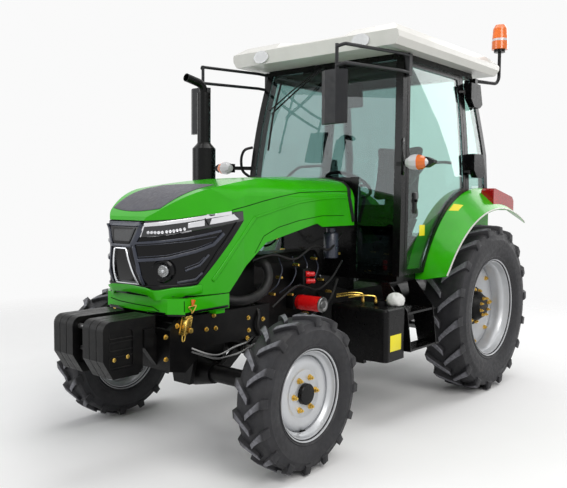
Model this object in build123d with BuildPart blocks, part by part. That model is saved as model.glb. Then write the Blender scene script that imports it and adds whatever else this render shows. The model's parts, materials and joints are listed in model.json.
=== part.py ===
"""A compact farm tractor: glazed cab, tilting bonnet, driven front axle and three-point hitch.

Units are millimetres. +X points forward, +Y to the driver's left, +Z up. The origin is on the
ground, at mid length and mid width. Side outlines are written as (distance ahead of the rear
axle, height above the ground).
"""
from build123d import *
import os
from collections import namedtuple
from math import atan2, cos, degrees, hypot, pi, radians, sin, tan

os.makedirs("parts", exist_ok=True)

# ---------------------------------------------------------------- driving dimensions
WHEELBASE = 2300.0
FRONT_OVERHANG = 855.0      # front axle to the faces of the weights
REAR_OVERHANG = 950.0       # rear axle to the ends of the lower links
OVERALL_LENGTH = FRONT_OVERHANG + WHEELBASE + REAR_OVERHANG
REAR_AXLE_X = REAR_OVERHANG - OVERALL_LENGTH / 2
FRONT_AXLE_X = REAR_AXLE_X + WHEELBASE

SEAT_GAP = 0.3              # between a piece and what carries it
RUNNING_FIT = 0.05          # radial play of a shaft in its bore
MOVING_GAP = 6.0            # between a moving panel and its neighbour
PANEL_GAP = 3.0             # shut line between two fixed or joined panels
SLANT_GAP = 0.4             # a seat gap measured along the length of a slanting joint

# wheels
Wheel = namedtuple("Wheel", ("axle_x track tip_radius width tread rim_radius rim_width disc_at "
                             "lug_height lug_count lug_width lug_slant"))
FRONT_WHEEL = Wheel(FRONT_AXLE_X, 796.0, 432.0, 210.0, 188.0, 252.0, 170.0, 22.0, 26.0, 16, 46.0, 42.0)
REAR_WHEEL = Wheel(REAR_AXLE_X, 757.0, 645.0, 328.0, 300.0, 378.0, 270.0, -20.0, 34.0, 18, 62.0, 45.0)
TYRE_SIDES = 24
LUG_OVERLAP = 4.0           # inner end past the middle of the tread
LUG_SETBACK = 2.0           # outer end inside the edge of the tread
LUG_ROOT = 12.0             # depth of a lug's foot in the tread
LUG_DRAFT = 12.0            # degrees
BULGE_SHARE = 0.45          # height of the widest point between rim and tread
BEAD_DEPTH = 16.0           # rim flange above the bead seat
RIM_WALL = 7.0
FLANGE_WIDTH = 9.0
CARCASS_WALL = 16.0
FRONT_DISC_RADIUS = 130.0
FRONT_SPINDLE_RADIUS = 52.0
REAR_SHAFT_RADIUS = 55.0
HUB_CAP_RADIUS = 58.0
HUB_WALL = 12.0

# front axle and steering
KINGPIN_Y = 600.0
KINGPIN_RADIUS = 18.0
KINGPIN_BOSS_RADIUS = 44.0
KINGPIN_BOSS_HALF_HEIGHT = 90.0
KNUCKLE_EAR = 24.0
KNUCKLE_REACH = 62.0        # kingpin to the face of the hub housing
HUB_HOUSING_RADIUS = 85.0
AXLE_TUBE_RADIUS = 52.0
DIFFERENTIAL_RADIUS = 118.0
TRUNNION_RADIUS = 40.0
TRUNNION_SPAN = 210.0       # between the two axle brackets
STEERING_ARM = 190.0        # kingpin to ball joint, towards the rear
BALL_PAD_RADIUS = 26.0
STEERING_CYLINDER_RADIUS = 36.0
STEERING_ROD_RADIUS = 16.0
STEERING_CYLINDER_LENGTH = 420.0

# main castings
FRAME_HALF_WIDTH = 280.0
FRAME_PLATE = 30.0
FRAME_TOP = 830.0
FRAME_FRONT = 2770.0
ENGINE_FRONT = 1960.0
ENGINE_REAR = 1270.0
ENGINE_HALF_WIDTH = 180.0
BRACKET_PLATE = 32.0

# tank and battery box
TANK_ARMS = (1285.0, 1370.0)
TANK_BACK = 1170.0
TANK_FRONT = 1420.0
TANK_INNER = 349.0
TANK_OUTER = 800.0
TANK_BOTTOM = 435.0
TANK_TOP = 780.0
BATTERY_OUTER = 640.0
BATTERY_TOP = 700.0

# weights
WEIGHT_COUNT = 3            # on each side of the middle gap
WEIGHT_INNER = 45.0
WEIGHT_OUTER = 220.0
WEIGHT_GAP = 4.0
CARRIER_BACK = 2845.0
CARRIER_FRONT = 2905.0
CARRIER_TOP = 790.0
CARRIER_BOTTOM = 690.0

# cab
CAB_WALL = 50.0
CAB_FLOOR_TOP = 960.0
CAB_FLOOR = 40.0
DECK_TOP = 1190.0
DOOR_TOP = 2452.0
ROOF_BOTTOM = 2495.0
PILLAR_WIDTH = 58.0
DOOR_REAR = 118.0           # rear edge of the door
HINGE_POST = 55.0
DOOR_THICKNESS = 36.0
DOOR_RAIL = 34.0
GLASS = 6.0
GLASS_SETBACK = 8.0
CAB_FRONT = 1105.0
CAB_REAR = -275.0
CAB_HALF_WIDTH = 700.0
FIREWALL_HALF_WIDTH = 350.0
FIREWALL_TOP = 1640.0

# fenders
FENDER_INNER_Y = 562.0
FENDER_RIDGE_Y = 700.0
FENDER_OUTER_Y = 890.0
FENDER_SKIN = 9.0
RIDGE_CENTRE = (-130.0, 618.0)
RIDGE_RADIUS = 962.0
OUTER_CENTRE = (-120.0, 330.0)
OUTER_RADIUS = 1089.0

# bonnet
BONNET_SKIN = 9.0
BONNET_BACK = 1124.0
BONNET_HALF_WIDTH = 340.0
BONNET_SECTION_TOP = 1632.0


# ---------------------------------------------------------------- shared planes and outlines
def side(y=0.0):
    """Plane of a side outline: local x runs forward from the rear axle, local y is height."""
    return Plane(origin=(REAR_AXLE_X, y, 0), x_dir=(1, 0, 0), z_dir=(0, -1, 0))


def plan(z=0.0):
    """Plane of a plan outline: local x runs forward from the rear axle, local y is to the left."""
    return Plane(origin=(REAR_AXLE_X, 0, z), x_dir=(1, 0, 0), z_dir=(0, 0, 1))


def section(x=0.0):
    """Plane of a cross section, x ahead of the rear axle: local x is left, local y is height."""
    return Plane(origin=(REAR_AXLE_X + x, 0, 0), x_dir=(0, 1, 0), z_dir=(1, 0, 0))


def wheel_plane(wheel, hand, outward=0.0):
    """Plane across a wheel, at a distance outward from the middle of its tyre."""
    origin = (wheel.axle_x, hand * (wheel.track + outward), wheel.tip_radius)
    return Plane(origin=origin, x_dir=(1, 0, 0), z_dir=(0, hand, 0))


def save(builder, label):
    """Label a finished piece and write its STEP file."""
    builder.part.label = label
    export_step(builder.part, f"parts/{label}.step")


def cab_envelope(inset):
    """The cab's curved outer form, brought in by a distance from every side."""
    with BuildPart() as envelope:
        with BuildSketch(side()):
            with BuildLine():
                ThreePointArc((CAB_FRONT - inset, 900), (CAB_FRONT - 18 - inset, 1680), (948 - inset, 2500))
                Polyline((948 - inset, 2500), (-110 + inset, 2500), (CAB_REAR + inset, 1850), (CAB_REAR + inset, 900),
                         (CAB_FRONT - inset, 900))
            make_face()
        extrude(amount=CAB_HALF_WIDTH + 10, both=True)
        with BuildSketch(section()):
            with BuildLine():
                ThreePointArc((CAB_HALF_WIDTH - inset, 900), (CAB_HALF_WIDTH - 4 - inset, 1650), (614 - inset, 2500))
                Line((614 - inset, 2500), (inset - 614, 2500))
                ThreePointArc((inset - 614, 2500), (4 + inset - CAB_HALF_WIDTH, 1650), (inset - CAB_HALF_WIDTH, 900))
                Line((inset - CAB_HALF_WIDTH, 900), (CAB_HALF_WIDTH - inset, 900))
            make_face()
        extrude(amount=3 * WHEELBASE, both=True, mode=Mode.INTERSECT)
    return envelope.part


def cab_shell(outer, inner):
    """The cab's skin between two depths under its outer form."""
    with BuildPart() as shell:
        add(cab_envelope(outer))
        add(cab_envelope(inner), mode=Mode.SUBTRACT)
    return shell.part


def front_profile(shift):
    """Closed side outline of everything behind the cab's front line moved back by shift."""
    with BuildSketch(Plane.XY) as profile:
        with BuildLine():
            ThreePointArc((CAB_FRONT - shift, 900), (CAB_FRONT - 18 - shift, 1680), (948 - shift, 2500))
            Polyline((948 - shift, 2500), (-600, 2500), (-600, 900), (CAB_FRONT - shift, 900))
        make_face()
    return profile.sketch


def door_outline(margin):
    """Side outline of the door opening, brought in by a margin."""
    with BuildSketch(Plane.XY) as outline:
        add(front_profile(PILLAR_WIDTH + margin))
        with Locations((DOOR_REAR + margin, CAB_FLOOR_TOP + margin)):
            Rectangle(2000, DOOR_TOP - CAB_FLOOR_TOP - 2 * margin, align=(Align.MIN, Align.MIN), mode=Mode.INTERSECT)
        with Locations(RIDGE_CENTRE):
            Circle(RIDGE_RADIUS + margin, mode=Mode.SUBTRACT)
    return outline.sketch


def quarter_outline(margin):
    """Side outline of the rear quarter window's opening, brought in by a margin."""
    with BuildSketch(Plane.XY) as outline:
        with BuildLine():
            Polyline((-110 + PILLAR_WIDTH + margin, 2500), (CAB_REAR + PILLAR_WIDTH + margin, 1850),
                     (CAB_REAR + PILLAR_WIDTH + margin, 900), (2000, 900), (2000, 2500), close=True)
        make_face()
        with Locations((DOOR_REAR - HINGE_POST - margin, CAB_FLOOR_TOP)):
            Rectangle(3000, DOOR_TOP - CAB_FLOOR_TOP - margin, align=(Align.MAX, Align.MIN), mode=Mode.INTERSECT)
        with Locations(RIDGE_CENTRE):
            Circle(RIDGE_RADIUS + margin, mode=Mode.SUBTRACT)
    return outline.sketch


def face_outline(width_margin, low, high):
    """Front or rear outline of a window as wide as the cab, less a margin at each side."""
    with BuildSketch(Plane.XY) as outline:
        with BuildLine():
            edge = CAB_HALF_WIDTH - width_margin
            ThreePointArc((edge, 900), (edge - 4, 1650), (614 - width_margin, 2500))
            Line((614 - width_margin, 2500), (width_margin - 614, 2500))
            ThreePointArc((width_margin - 614, 2500), (4 - edge, 1650), (-edge, 900))
            Line((-edge, 900), (edge, 900))
        make_face()
        with Locations((0, low)):
            Rectangle(4000, high - low, align=(Align.CENTER, Align.MIN), mode=Mode.INTERSECT)
    return outline.sketch


# ---------------------------------------------------------------- wheels
def tapered_disc(wide, narrow, height):
    """A flat-sided disc on the ground plane that narrows upwards."""
    with BuildPart() as disc:
        with BuildSketch():
            RegularPolygon(wide, TYRE_SIDES, major_radius=False)
        extrude(amount=height, taper=degrees(atan2(wide - narrow, height)))
    return disc.part


def build_lug(wheel, hand):
    """One drafted lug on top of the tread, from the middle out to a shoulder, its inner end leading."""
    slant = radians(wheel.lug_slant)
    lean = (wheel.tread / 2 + LUG_OVERLAP - LUG_SETBACK) * tan(slant)
    foot = wheel.tip_radius - wheel.lug_height - LUG_ROOT
    # the wheel stands on two corners of one row, half a pitch apart less their lead
    drawn_in = (1 / cos(slant) + tan(slant)) * tan(radians(LUG_DRAFT))
    half_pitch = pi / wheel.lug_count
    reach = (lean + wheel.lug_width) / 2 + drawn_in * foot
    crown = (wheel.tip_radius - reach * sin(half_pitch)) / (cos(half_pitch) - drawn_in * sin(half_pitch))
    inner, outer = -LUG_OVERLAP, wheel.tread / 2 - LUG_SETBACK
    root = Plane(origin=(wheel.axle_x, hand * wheel.track, wheel.tip_radius + foot))
    with BuildPart() as lug:
        with BuildSketch(root):
            with BuildLine():
                Polyline(((lean - wheel.lug_width) / 2, inner), ((lean + wheel.lug_width) / 2, inner),
                         ((wheel.lug_width - lean) / 2, outer), ((-wheel.lug_width - lean) / 2, outer), close=True)
            make_face()
        extrude(amount=crown - foot, taper=LUG_DRAFT)
    return lug.part


def build_tyre(wheel, hand, label):
    """A hollow tyre of flat facets, with two rows of slanted lugs fused to its tread."""
    half = wheel.width / 2
    bead = wheel.rim_radius - BEAD_DEPTH + SEAT_GAP
    floor = wheel.tip_radius - wheel.lug_height
    middle = wheel.rim_radius + BULGE_SHARE * (wheel.tip_radius - wheel.rim_radius)
    bead_half = wheel.rim_width / 2 - FLANGE_WIDTH - SEAT_GAP
    axle = Axis((wheel.axle_x, hand * wheel.track, wheel.tip_radius), (0, 1, 0))
    lug = build_lug(wheel, hand)
    facing_lug = mirror(lug, about=wheel_plane(wheel, hand))
    with BuildPart() as tyre:
        with BuildSketch(wheel_plane(wheel, hand)):
            RegularPolygon(floor, TYRE_SIDES, major_radius=False)
        extrude(amount=wheel.tread / 2, both=True)
        # columns: start and end of a slope, the radii there, how it joins
        for start, end, wide, narrow, joins in ((wheel.tread / 2, half, floor, middle, Mode.ADD),
                                                (half, bead_half, middle, wheel.rim_radius, Mode.SUBTRACT)):
            slope = tapered_disc(wide, narrow, abs(end - start))
            for out in (1, -1):
                base = wheel_plane(wheel, hand, out * start)
                facing = Plane(origin=base.origin, x_dir=base.x_dir, z_dir=base.z_dir * (out if end > start else -out))
                add(facing.location * slope, mode=joins)
        # columns: radius and half width of the bore and of the air space
        for radius, reach in ((bead, half), (floor - CARCASS_WALL, bead_half - CARCASS_WALL)):
            with BuildSketch(wheel_plane(wheel, hand)):
                RegularPolygon(radius, TYRE_SIDES, major_radius=False)
            extrude(amount=reach, both=True, mode=Mode.SUBTRACT)
        # columns: the row's lug, share of a pitch that the row is turned by
        for shape, turned in ((lug, 0.0), (facing_lug, 0.5)):
            add([shape.rotate(axle, 360 / wheel.lug_count * (count + turned)) for count in range(wheel.lug_count)])
    save(tyre, label)


def build_rim(wheel, hand, label, bore, cap_radius, cap_end, boss_radius, hub_back):
    """A pressed rim with its disc, hub boss and cap; the bore runs on the axle's end."""
    half = wheel.rim_width / 2
    seat = wheel.rim_radius - BEAD_DEPTH
    with BuildPart() as rim:
        with BuildSketch(wheel_plane(wheel, hand)):
            Circle(seat)
            Circle(seat - RIM_WALL, mode=Mode.SUBTRACT)
        extrude(amount=half, both=True)
        for edge in (-half, half - FLANGE_WIDTH):
            with BuildSketch(wheel_plane(wheel, hand, edge)):
                Circle(wheel.rim_radius)
                Circle(seat - RIM_WALL, mode=Mode.SUBTRACT)
            extrude(amount=FLANGE_WIDTH)
        with BuildSketch(wheel_plane(wheel, hand, wheel.disc_at)):
            Circle(seat - RIM_WALL + 1)
        extrude(amount=RIM_WALL + 5)
        with BuildSketch(wheel_plane(wheel, hand, hub_back)):
            Circle(boss_radius)
        extrude(amount=wheel.disc_at - hub_back + RIM_WALL + 14)
        with BuildSketch(wheel_plane(wheel, hand, wheel.disc_at)):
            Circle(cap_radius)
        extrude(amount=cap_end - wheel.disc_at)
        with BuildSketch(wheel_plane(wheel, hand, hub_back)):
            Circle(bore)
        extrude(amount=cap_end - HUB_WALL - hub_back, mode=Mode.SUBTRACT)
    save(rim, label)


FRONT_HUB_BACK = -20.0
FRONT_CAP_END = 72.0
REAR_HUB_BACK = -70.0
REAR_CAP_END = 80.0
for side_name, hand in (("left", 1), ("right", -1)):
    build_tyre(FRONT_WHEEL, hand, f"front_tyre_{side_name}")
    build_tyre(REAR_WHEEL, hand, f"rear_tyre_{side_name}")
    build_rim(FRONT_WHEEL, hand, f"front_rim_{side_name}", FRONT_SPINDLE_RADIUS + RUNNING_FIT,
              HUB_CAP_RADIUS + 6, FRONT_CAP_END, FRONT_DISC_RADIUS, FRONT_HUB_BACK)
    build_rim(REAR_WHEEL, hand, f"rear_rim_{side_name}", REAR_SHAFT_RADIUS + RUNNING_FIT,
              REAR_SHAFT_RADIUS + 30, REAR_CAP_END, REAR_SHAFT_RADIUS + 75, REAR_HUB_BACK)

# ---------------------------------------------------------------- front axle and steering
AXLE_HEIGHT = FRONT_WHEEL.tip_radius
EAR_TOP = KINGPIN_BOSS_HALF_HEIGHT + SEAT_GAP + KNUCKLE_EAR
ARM_X = FRONT_AXLE_X - STEERING_ARM
CYLINDER_Z = AXLE_HEIGHT + KINGPIN_BOSS_HALF_HEIGHT + SEAT_GAP + KNUCKLE_EAR + SEAT_GAP + BALL_PAD_RADIUS

with BuildPart() as front_axle_beam:
    with BuildSketch(Plane(origin=(FRONT_AXLE_X, 0, AXLE_HEIGHT), x_dir=(1, 0, 0), z_dir=(0, -1, 0))):
        Circle(AXLE_TUBE_RADIUS)
    extrude(amount=KINGPIN_Y - KINGPIN_BOSS_RADIUS / 2, both=True)
    with BuildSketch(Plane(origin=(FRONT_AXLE_X, 0, AXLE_HEIGHT), x_dir=(1, 0, 0), z_dir=(0, -1, 0))):
        Circle(DIFFERENTIAL_RADIUS * 0.82)
    extrude(amount=150, both=True, taper=12)
    with BuildSketch(Plane(origin=(FRONT_AXLE_X, 0, AXLE_HEIGHT), x_dir=(0, 1, 0), z_dir=(1, 0, 0))):
        Circle(TRUNNION_RADIUS)
    extrude(amount=TRUNNION_SPAN / 2 + BRACKET_PLATE, both=True)
    for hand in (-1, 1):
        base = AXLE_HEIGHT - KINGPIN_BOSS_HALF_HEIGHT
        with BuildSketch(Plane(origin=(FRONT_AXLE_X, hand * KINGPIN_Y, base))):
            Circle(KINGPIN_BOSS_RADIUS)
        extrude(amount=2 * KINGPIN_BOSS_HALF_HEIGHT)
        with BuildSketch(Plane(origin=(FRONT_AXLE_X, hand * KINGPIN_Y, base))):
            Circle(KINGPIN_RADIUS + RUNNING_FIT)
        extrude(amount=2 * KINGPIN_BOSS_HALF_HEIGHT, mode=Mode.SUBTRACT)
    # the steering cylinder lies behind the beam on two posts
    with BuildSketch(Plane(origin=(ARM_X, 0, CYLINDER_Z), x_dir=(1, 0, 0), z_dir=(0, -1, 0))):
        Circle(STEERING_CYLINDER_RADIUS)
    extrude(amount=STEERING_CYLINDER_LENGTH / 2, both=True)
    for hand in (-1, 1):
        with BuildSketch(side(hand * 175)):
            with BuildLine():
                Polyline((WHEELBASE, AXLE_HEIGHT + 40), (WHEELBASE, AXLE_HEIGHT - 40),
                         (WHEELBASE - STEERING_ARM - 20, CYLINDER_Z - 26),
                         (WHEELBASE - STEERING_ARM + 24, CYLINDER_Z + 20), close=True)
            make_face()
        extrude(amount=15, both=True)
    with BuildSketch(Plane(origin=(ARM_X, 0, CYLINDER_Z), x_dir=(1, 0, 0), z_dir=(0, -1, 0))):
        Circle(STEERING_ROD_RADIUS + RUNNING_FIT)
    extrude(amount=STEERING_CYLINDER_LENGTH, both=True, mode=Mode.SUBTRACT)
save(front_axle_beam, "front_axle_beam")

with BuildPart() as steering_rod:
    with BuildSketch(Plane(origin=(ARM_X, 0, CYLINDER_Z), x_dir=(1, 0, 0), z_dir=(0, -1, 0))):
        Circle(STEERING_ROD_RADIUS)
    extrude(amount=KINGPIN_Y, both=True)
    for hand in (-1, 1):
        with BuildSketch(Plane(origin=(ARM_X, hand * KINGPIN_Y, CYLINDER_Z - BALL_PAD_RADIUS))):
            Circle(BALL_PAD_RADIUS)
        extrude(amount=2 * BALL_PAD_RADIUS)
save(steering_rod, "steering_rod")

for side_name, hand in (("left", 1), ("right", -1)):
    hub_face = KINGPIN_Y + KNUCKLE_REACH
    spindle_end = FRONT_WHEEL.track + FRONT_CAP_END - HUB_WALL - SEAT_GAP
    with BuildPart() as knuckle:
        # two ears over and under the kingpin boss, with the pins in them
        for low, pin_low in ((KINGPIN_BOSS_HALF_HEIGHT + SEAT_GAP, 50), (-EAR_TOP, -EAR_TOP)):
            with BuildSketch(Plane(origin=(FRONT_AXLE_X, 0, AXLE_HEIGHT + low))):
                with BuildLine():
                    Polyline((0, hand * (KINGPIN_Y - 40)), (52, hand * KINGPIN_Y), (70, hand * (hub_face + 10)),
                             (-70, hand * (hub_face + 10)), (-52, hand * KINGPIN_Y), close=True)
                make_face()
            extrude(amount=KNUCKLE_EAR)
            with BuildSketch(Plane(origin=(FRONT_AXLE_X, hand * KINGPIN_Y, AXLE_HEIGHT + pin_low))):
                Circle(KINGPIN_RADIUS)
            extrude(amount=EAR_TOP - 50)
        # hub housing and spindle
        with BuildSketch(Plane(origin=(FRONT_AXLE_X, hand * hub_face, AXLE_HEIGHT), x_dir=(1, 0, 0), z_dir=(0, hand, 0))):
            Circle(HUB_HOUSING_RADIUS)
        extrude(amount=FRONT_WHEEL.track + FRONT_HUB_BACK - hub_face - SEAT_GAP)
        with BuildSketch(Plane(origin=(FRONT_AXLE_X, hand * (hub_face - 14), AXLE_HEIGHT), x_dir=(1, 0, 0),
                               z_dir=(0, hand, 0))):
            Rectangle(110, 2 * EAR_TOP)
        extrude(amount=30)
        with BuildSketch(Plane(origin=(FRONT_AXLE_X, hand * hub_face, AXLE_HEIGHT), x_dir=(1, 0, 0), z_dir=(0, hand, 0))):
            Circle(FRONT_SPINDLE_RADIUS)
        extrude(amount=spindle_end - hub_face)
        # steering arm, reaching back to the ball joint
        with BuildSketch(Plane(origin=(0, 0, AXLE_HEIGHT + KINGPIN_BOSS_HALF_HEIGHT + SEAT_GAP))):
            with BuildLine():
                Polyline((FRONT_AXLE_X + 20, hand * (KINGPIN_Y + 34)), (FRONT_AXLE_X - 20, hand * (KINGPIN_Y - 34)),
                         (ARM_X, hand * (KINGPIN_Y - 20)), (ARM_X, hand * (KINGPIN_Y + 20)), close=True)
            make_face()
            with Locations((ARM_X, hand * KINGPIN_Y)):
                Circle(BALL_PAD_RADIUS)
        extrude(amount=KNUCKLE_EAR)
    save(knuckle, f"knuckle_{side_name}")

# ---------------------------------------------------------------- frame, engine, gearbox
BRACKET_FRONT = WHEELBASE + TRUNNION_SPAN / 2
BRACKET_REAR = WHEELBASE - TRUNNION_SPAN / 2 - BRACKET_PLATE
with BuildPart() as front_frame:
    for hand in (-1, 1):
        with BuildSketch(side(hand * (FRAME_HALF_WIDTH - FRAME_PLATE / 2))):
            with BuildLine():
                Polyline((FRAME_FRONT, 545), (FRAME_FRONT, 770), (FRAME_FRONT - 70, FRAME_TOP),
                         (ENGINE_FRONT, FRAME_TOP), (ENGINE_FRONT, 640), (WHEELBASE - 240, 640),
                         (WHEELBASE + 200, 640), (FRAME_FRONT - 112, 522), close=True)
            make_face()
        extrude(amount=FRAME_PLATE / 2, both=True)
    # cross members: at the engine, over the axle brackets, and at the front
    for back, front, low, high in ((ENGINE_FRONT, ENGINE_FRONT + 30, 640, FRAME_TOP),
                                   (BRACKET_REAR, BRACKET_REAR + BRACKET_PLATE, 640, 720),
                                   (BRACKET_FRONT, BRACKET_FRONT + BRACKET_PLATE, 640, 720),
                                   (FRAME_FRONT - 30, FRAME_FRONT, 545, 770)):
        with BuildSketch(section(back)):
            with Locations((0, low)):
                Rectangle(2 * FRAME_HALF_WIDTH - 2, high - low, align=(Align.CENTER, Align.MIN))
        extrude(amount=front - back)
    for back in (BRACKET_REAR, BRACKET_FRONT):
        with BuildSketch(section(back)):
            with BuildLine():
                Polyline((-150, 700), (-70, AXLE_HEIGHT - 60), (70, AXLE_HEIGHT - 60), (150, 700), close=True)
            make_face()
            with Locations((0, AXLE_HEIGHT)):
                Circle(TRUNNION_RADIUS + SEAT_GAP, mode=Mode.SUBTRACT)
        extrude(amount=BRACKET_PLATE)
    # carrier for the front weights
    with BuildSketch(section(CARRIER_BACK)):
        with Locations((0, CARRIER_BOTTOM)):
            Rectangle(2 * WEIGHT_OUTER + 30, CARRIER_TOP - CARRIER_BOTTOM, align=(Align.CENTER, Align.MIN))
    extrude(amount=CARRIER_FRONT - CARRIER_BACK)
    for hand in (-1, 1):
        with BuildSketch(side(hand * 150)):
            with BuildLine():
                Polyline((FRAME_FRONT - 5, 560), (FRAME_FRONT - 5, 740), (CARRIER_BACK + 20, 740),
                         (CARRIER_BACK + 20, CARRIER_BOTTOM), close=True)
            make_face()
        extrude(amount=20, both=True)
save(front_frame, "front_frame")

weight_pitch = (WEIGHT_OUTER - WEIGHT_INNER + WEIGHT_GAP) / WEIGHT_COUNT
weight_front = WHEELBASE + FRONT_OVERHANG
with BuildPart() as front_weights:
    for hand in (-1, 1):
        for index in range(WEIGHT_COUNT):
            inner_face = WEIGHT_INNER + index * weight_pitch
            middle = hand * (inner_face + (weight_pitch - WEIGHT_GAP) / 2)
            with BuildSketch(side(middle)):
                with BuildLine():
                    lip = CARRIER_BACK - 26
                    Line((lip, 854), (weight_front - 50, 854))
                    RadiusArc((weight_front - 50, 854), (weight_front, 804), 50)
                    Polyline((weight_front, 804), (weight_front, 654), (weight_front - 60, 555),
                             (CARRIER_FRONT + 30, 555), (CARRIER_FRONT + SEAT_GAP, 590),
                             (CARRIER_FRONT + SEAT_GAP, CARRIER_TOP + SEAT_GAP),
                             (CARRIER_BACK - SEAT_GAP, CARRIER_TOP + SEAT_GAP),
                             (CARRIER_BACK - SEAT_GAP, CARRIER_TOP - 40), (lip, CARRIER_TOP - 40), (lip, 854))
                make_face()
            extrude(amount=(weight_pitch - WEIGHT_GAP) / 2, both=True)
            for outward in (-1, 1):
                with BuildSketch(side(middle + outward * (weight_pitch - WEIGHT_GAP) / 2)):
                    with Locations((weight_front - 110, 705)):
                        RectangleRounded(150, 200, 24)
                extrude(amount=7, both=True, mode=Mode.SUBTRACT)
save(front_weights, "front_weights")

with BuildPart() as engine_block:
    with BuildSketch(section(ENGINE_REAR)):
        with BuildLine():
            Polyline((0, 480), (120, 480), (135, 570), (ENGINE_HALF_WIDTH, 620), (ENGINE_HALF_WIDTH, 900),
                     (150, 940), (150, 1060), (110, 1120), (0, 1120), (0, 480))
        make_face()
        mirror(about=Plane.YZ)
    extrude(amount=ENGINE_FRONT - ENGINE_REAR)
    with BuildSketch(section(ENGINE_REAR)):
        with Locations((0, 700)):
            Circle(225)
    extrude(amount=70)
    fillet(engine_block.edges().filter_by(Axis.X).group_by(Axis.Z)[-1], 25)
    # arms that carry the tank and the battery box
    for hand in (-1, 1):
        for ahead in TANK_ARMS:
            with BuildSketch(section(ahead)):
                with BuildLine():
                    Polyline((hand * (ENGINE_HALF_WIDTH - 60), 640), (hand * (ENGINE_HALF_WIDTH + 14), 640),
                             (hand * (ENGINE_HALF_WIDTH + 40), TANK_BOTTOM - SEAT_GAP),
                             (hand * (BATTERY_OUTER - 20), TANK_BOTTOM - SEAT_GAP),
                             (hand * (BATTERY_OUTER - 20), TANK_BOTTOM - 30), (hand * (ENGINE_HALF_WIDTH - 60), TANK_BOTTOM - 30),
                             close=True)
                make_face()
            extrude(amount=34)
save(engine_block, "engine_block")

RADIATOR_BACK = 2400.0
RADIATOR_DEPTH = 90.0
with BuildPart() as radiator:
    with BuildSketch(section(RADIATOR_BACK)):
        with Locations((0, FRAME_TOP)):
            Rectangle(500, 440, align=(Align.CENTER, Align.MIN))
    extrude(amount=RADIATOR_DEPTH)
    with BuildSketch(section(RADIATOR_BACK)):
        with Locations((0, FRAME_TOP + 220)):
            Rectangle(370, 400)
    with BuildSketch(section(RADIATOR_BACK - 110)):
        with Locations((0, FRAME_TOP + 220)):
            Rectangle(360, 380)
    loft(ruled=True)
    with BuildSketch(section(RADIATOR_BACK - 110)):
        with Locations((0, FRAME_TOP + 220)):
            Circle(170)
    extrude(amount=80, mode=Mode.SUBTRACT)
save(radiator, "radiator")

with BuildPart() as cooling_fan:
    with BuildSketch(section(ENGINE_FRONT + SEAT_GAP)):
        with Locations((0, FRAME_TOP + 220)):
            Circle(34)
    extrude(amount=RADIATOR_BACK - 60 - ENGINE_FRONT)
    with BuildSketch(section(RADIATOR_BACK - 100)):
        with Locations((0, FRAME_TOP + 220)):
            Circle(62)
            with PolarLocations(100, 7):
                Rectangle(112, 46)
    extrude(amount=14)
save(cooling_fan, "cooling_fan")

HOSE_RADIUS = 24.0
hose_route = [(1905, ENGINE_HALF_WIDTH - 30 + SEAT_GAP, 1010), (1905, 262, 1010), (1975, 300, 985), (2052, 296, 898),
              (2200, 285, 868), (2290, 222, 900), (RADIATOR_BACK - SEAT_GAP, 222, 900)]
with BuildPart() as radiator_hose:
    with BuildLine() as hose_line:
        FilletPolyline(*[(x + REAR_AXLE_X, y, z) for x, y, z in hose_route], radius=[40, 40, 55, 60, 40])
    with BuildSketch(Plane(origin=hose_line.line @ 0, z_dir=hose_line.line % 0)):
        Circle(HOSE_RADIUS)
    sweep()
save(radiator_hose, "radiator_hose")

with BuildPart() as engine_filters:
    # oil filter on its bracket
    with BuildSketch(side(ENGINE_HALF_WIDTH + SEAT_GAP)):
        with Locations((1650, 800)):
            Rectangle(90, 110)
    extrude(amount=-70)
    with BuildSketch(side(ENGINE_HALF_WIDTH + 70)):
        with Locations((1650, 800)):
            Circle(48)
    extrude(amount=-200)
    # fuel pump with two capped filters
    with BuildSketch(side(ENGINE_HALF_WIDTH + SEAT_GAP)):
        with Locations((1520, 850)):
            Rectangle(130, 90)
    extrude(amount=-100)
    for ahead in (1490, 1550):
        with BuildSketch(Plane(origin=(REAR_AXLE_X + ahead, ENGINE_HALF_WIDTH + 55, 895))):
            Circle(26)
        extrude(amount=100)
save(engine_filters, "engine_filters")

CASE_HALF_WIDTH = 150.0
CASE_BARREL_RADIUS = 205.0
with BuildPart() as transmission_case:
    with BuildSketch(side()):
        with BuildLine():
            Polyline((ENGINE_REAR, 475), (ENGINE_REAR, 925), (1130, 860), (900, 800), (350, 800), (200, 860),
                     (-330, 860), (-330, 470), (250, 430), (900, 450), close=True)
        make_face()
    extrude(amount=CASE_HALF_WIDTH, both=True)
    with BuildSketch(section(-230)):
        with Locations((0, REAR_WHEEL.tip_radius)):
            Circle(CASE_BARREL_RADIUS)
    extrude(amount=430)
save(transmission_case, "transmission_case")

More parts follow.
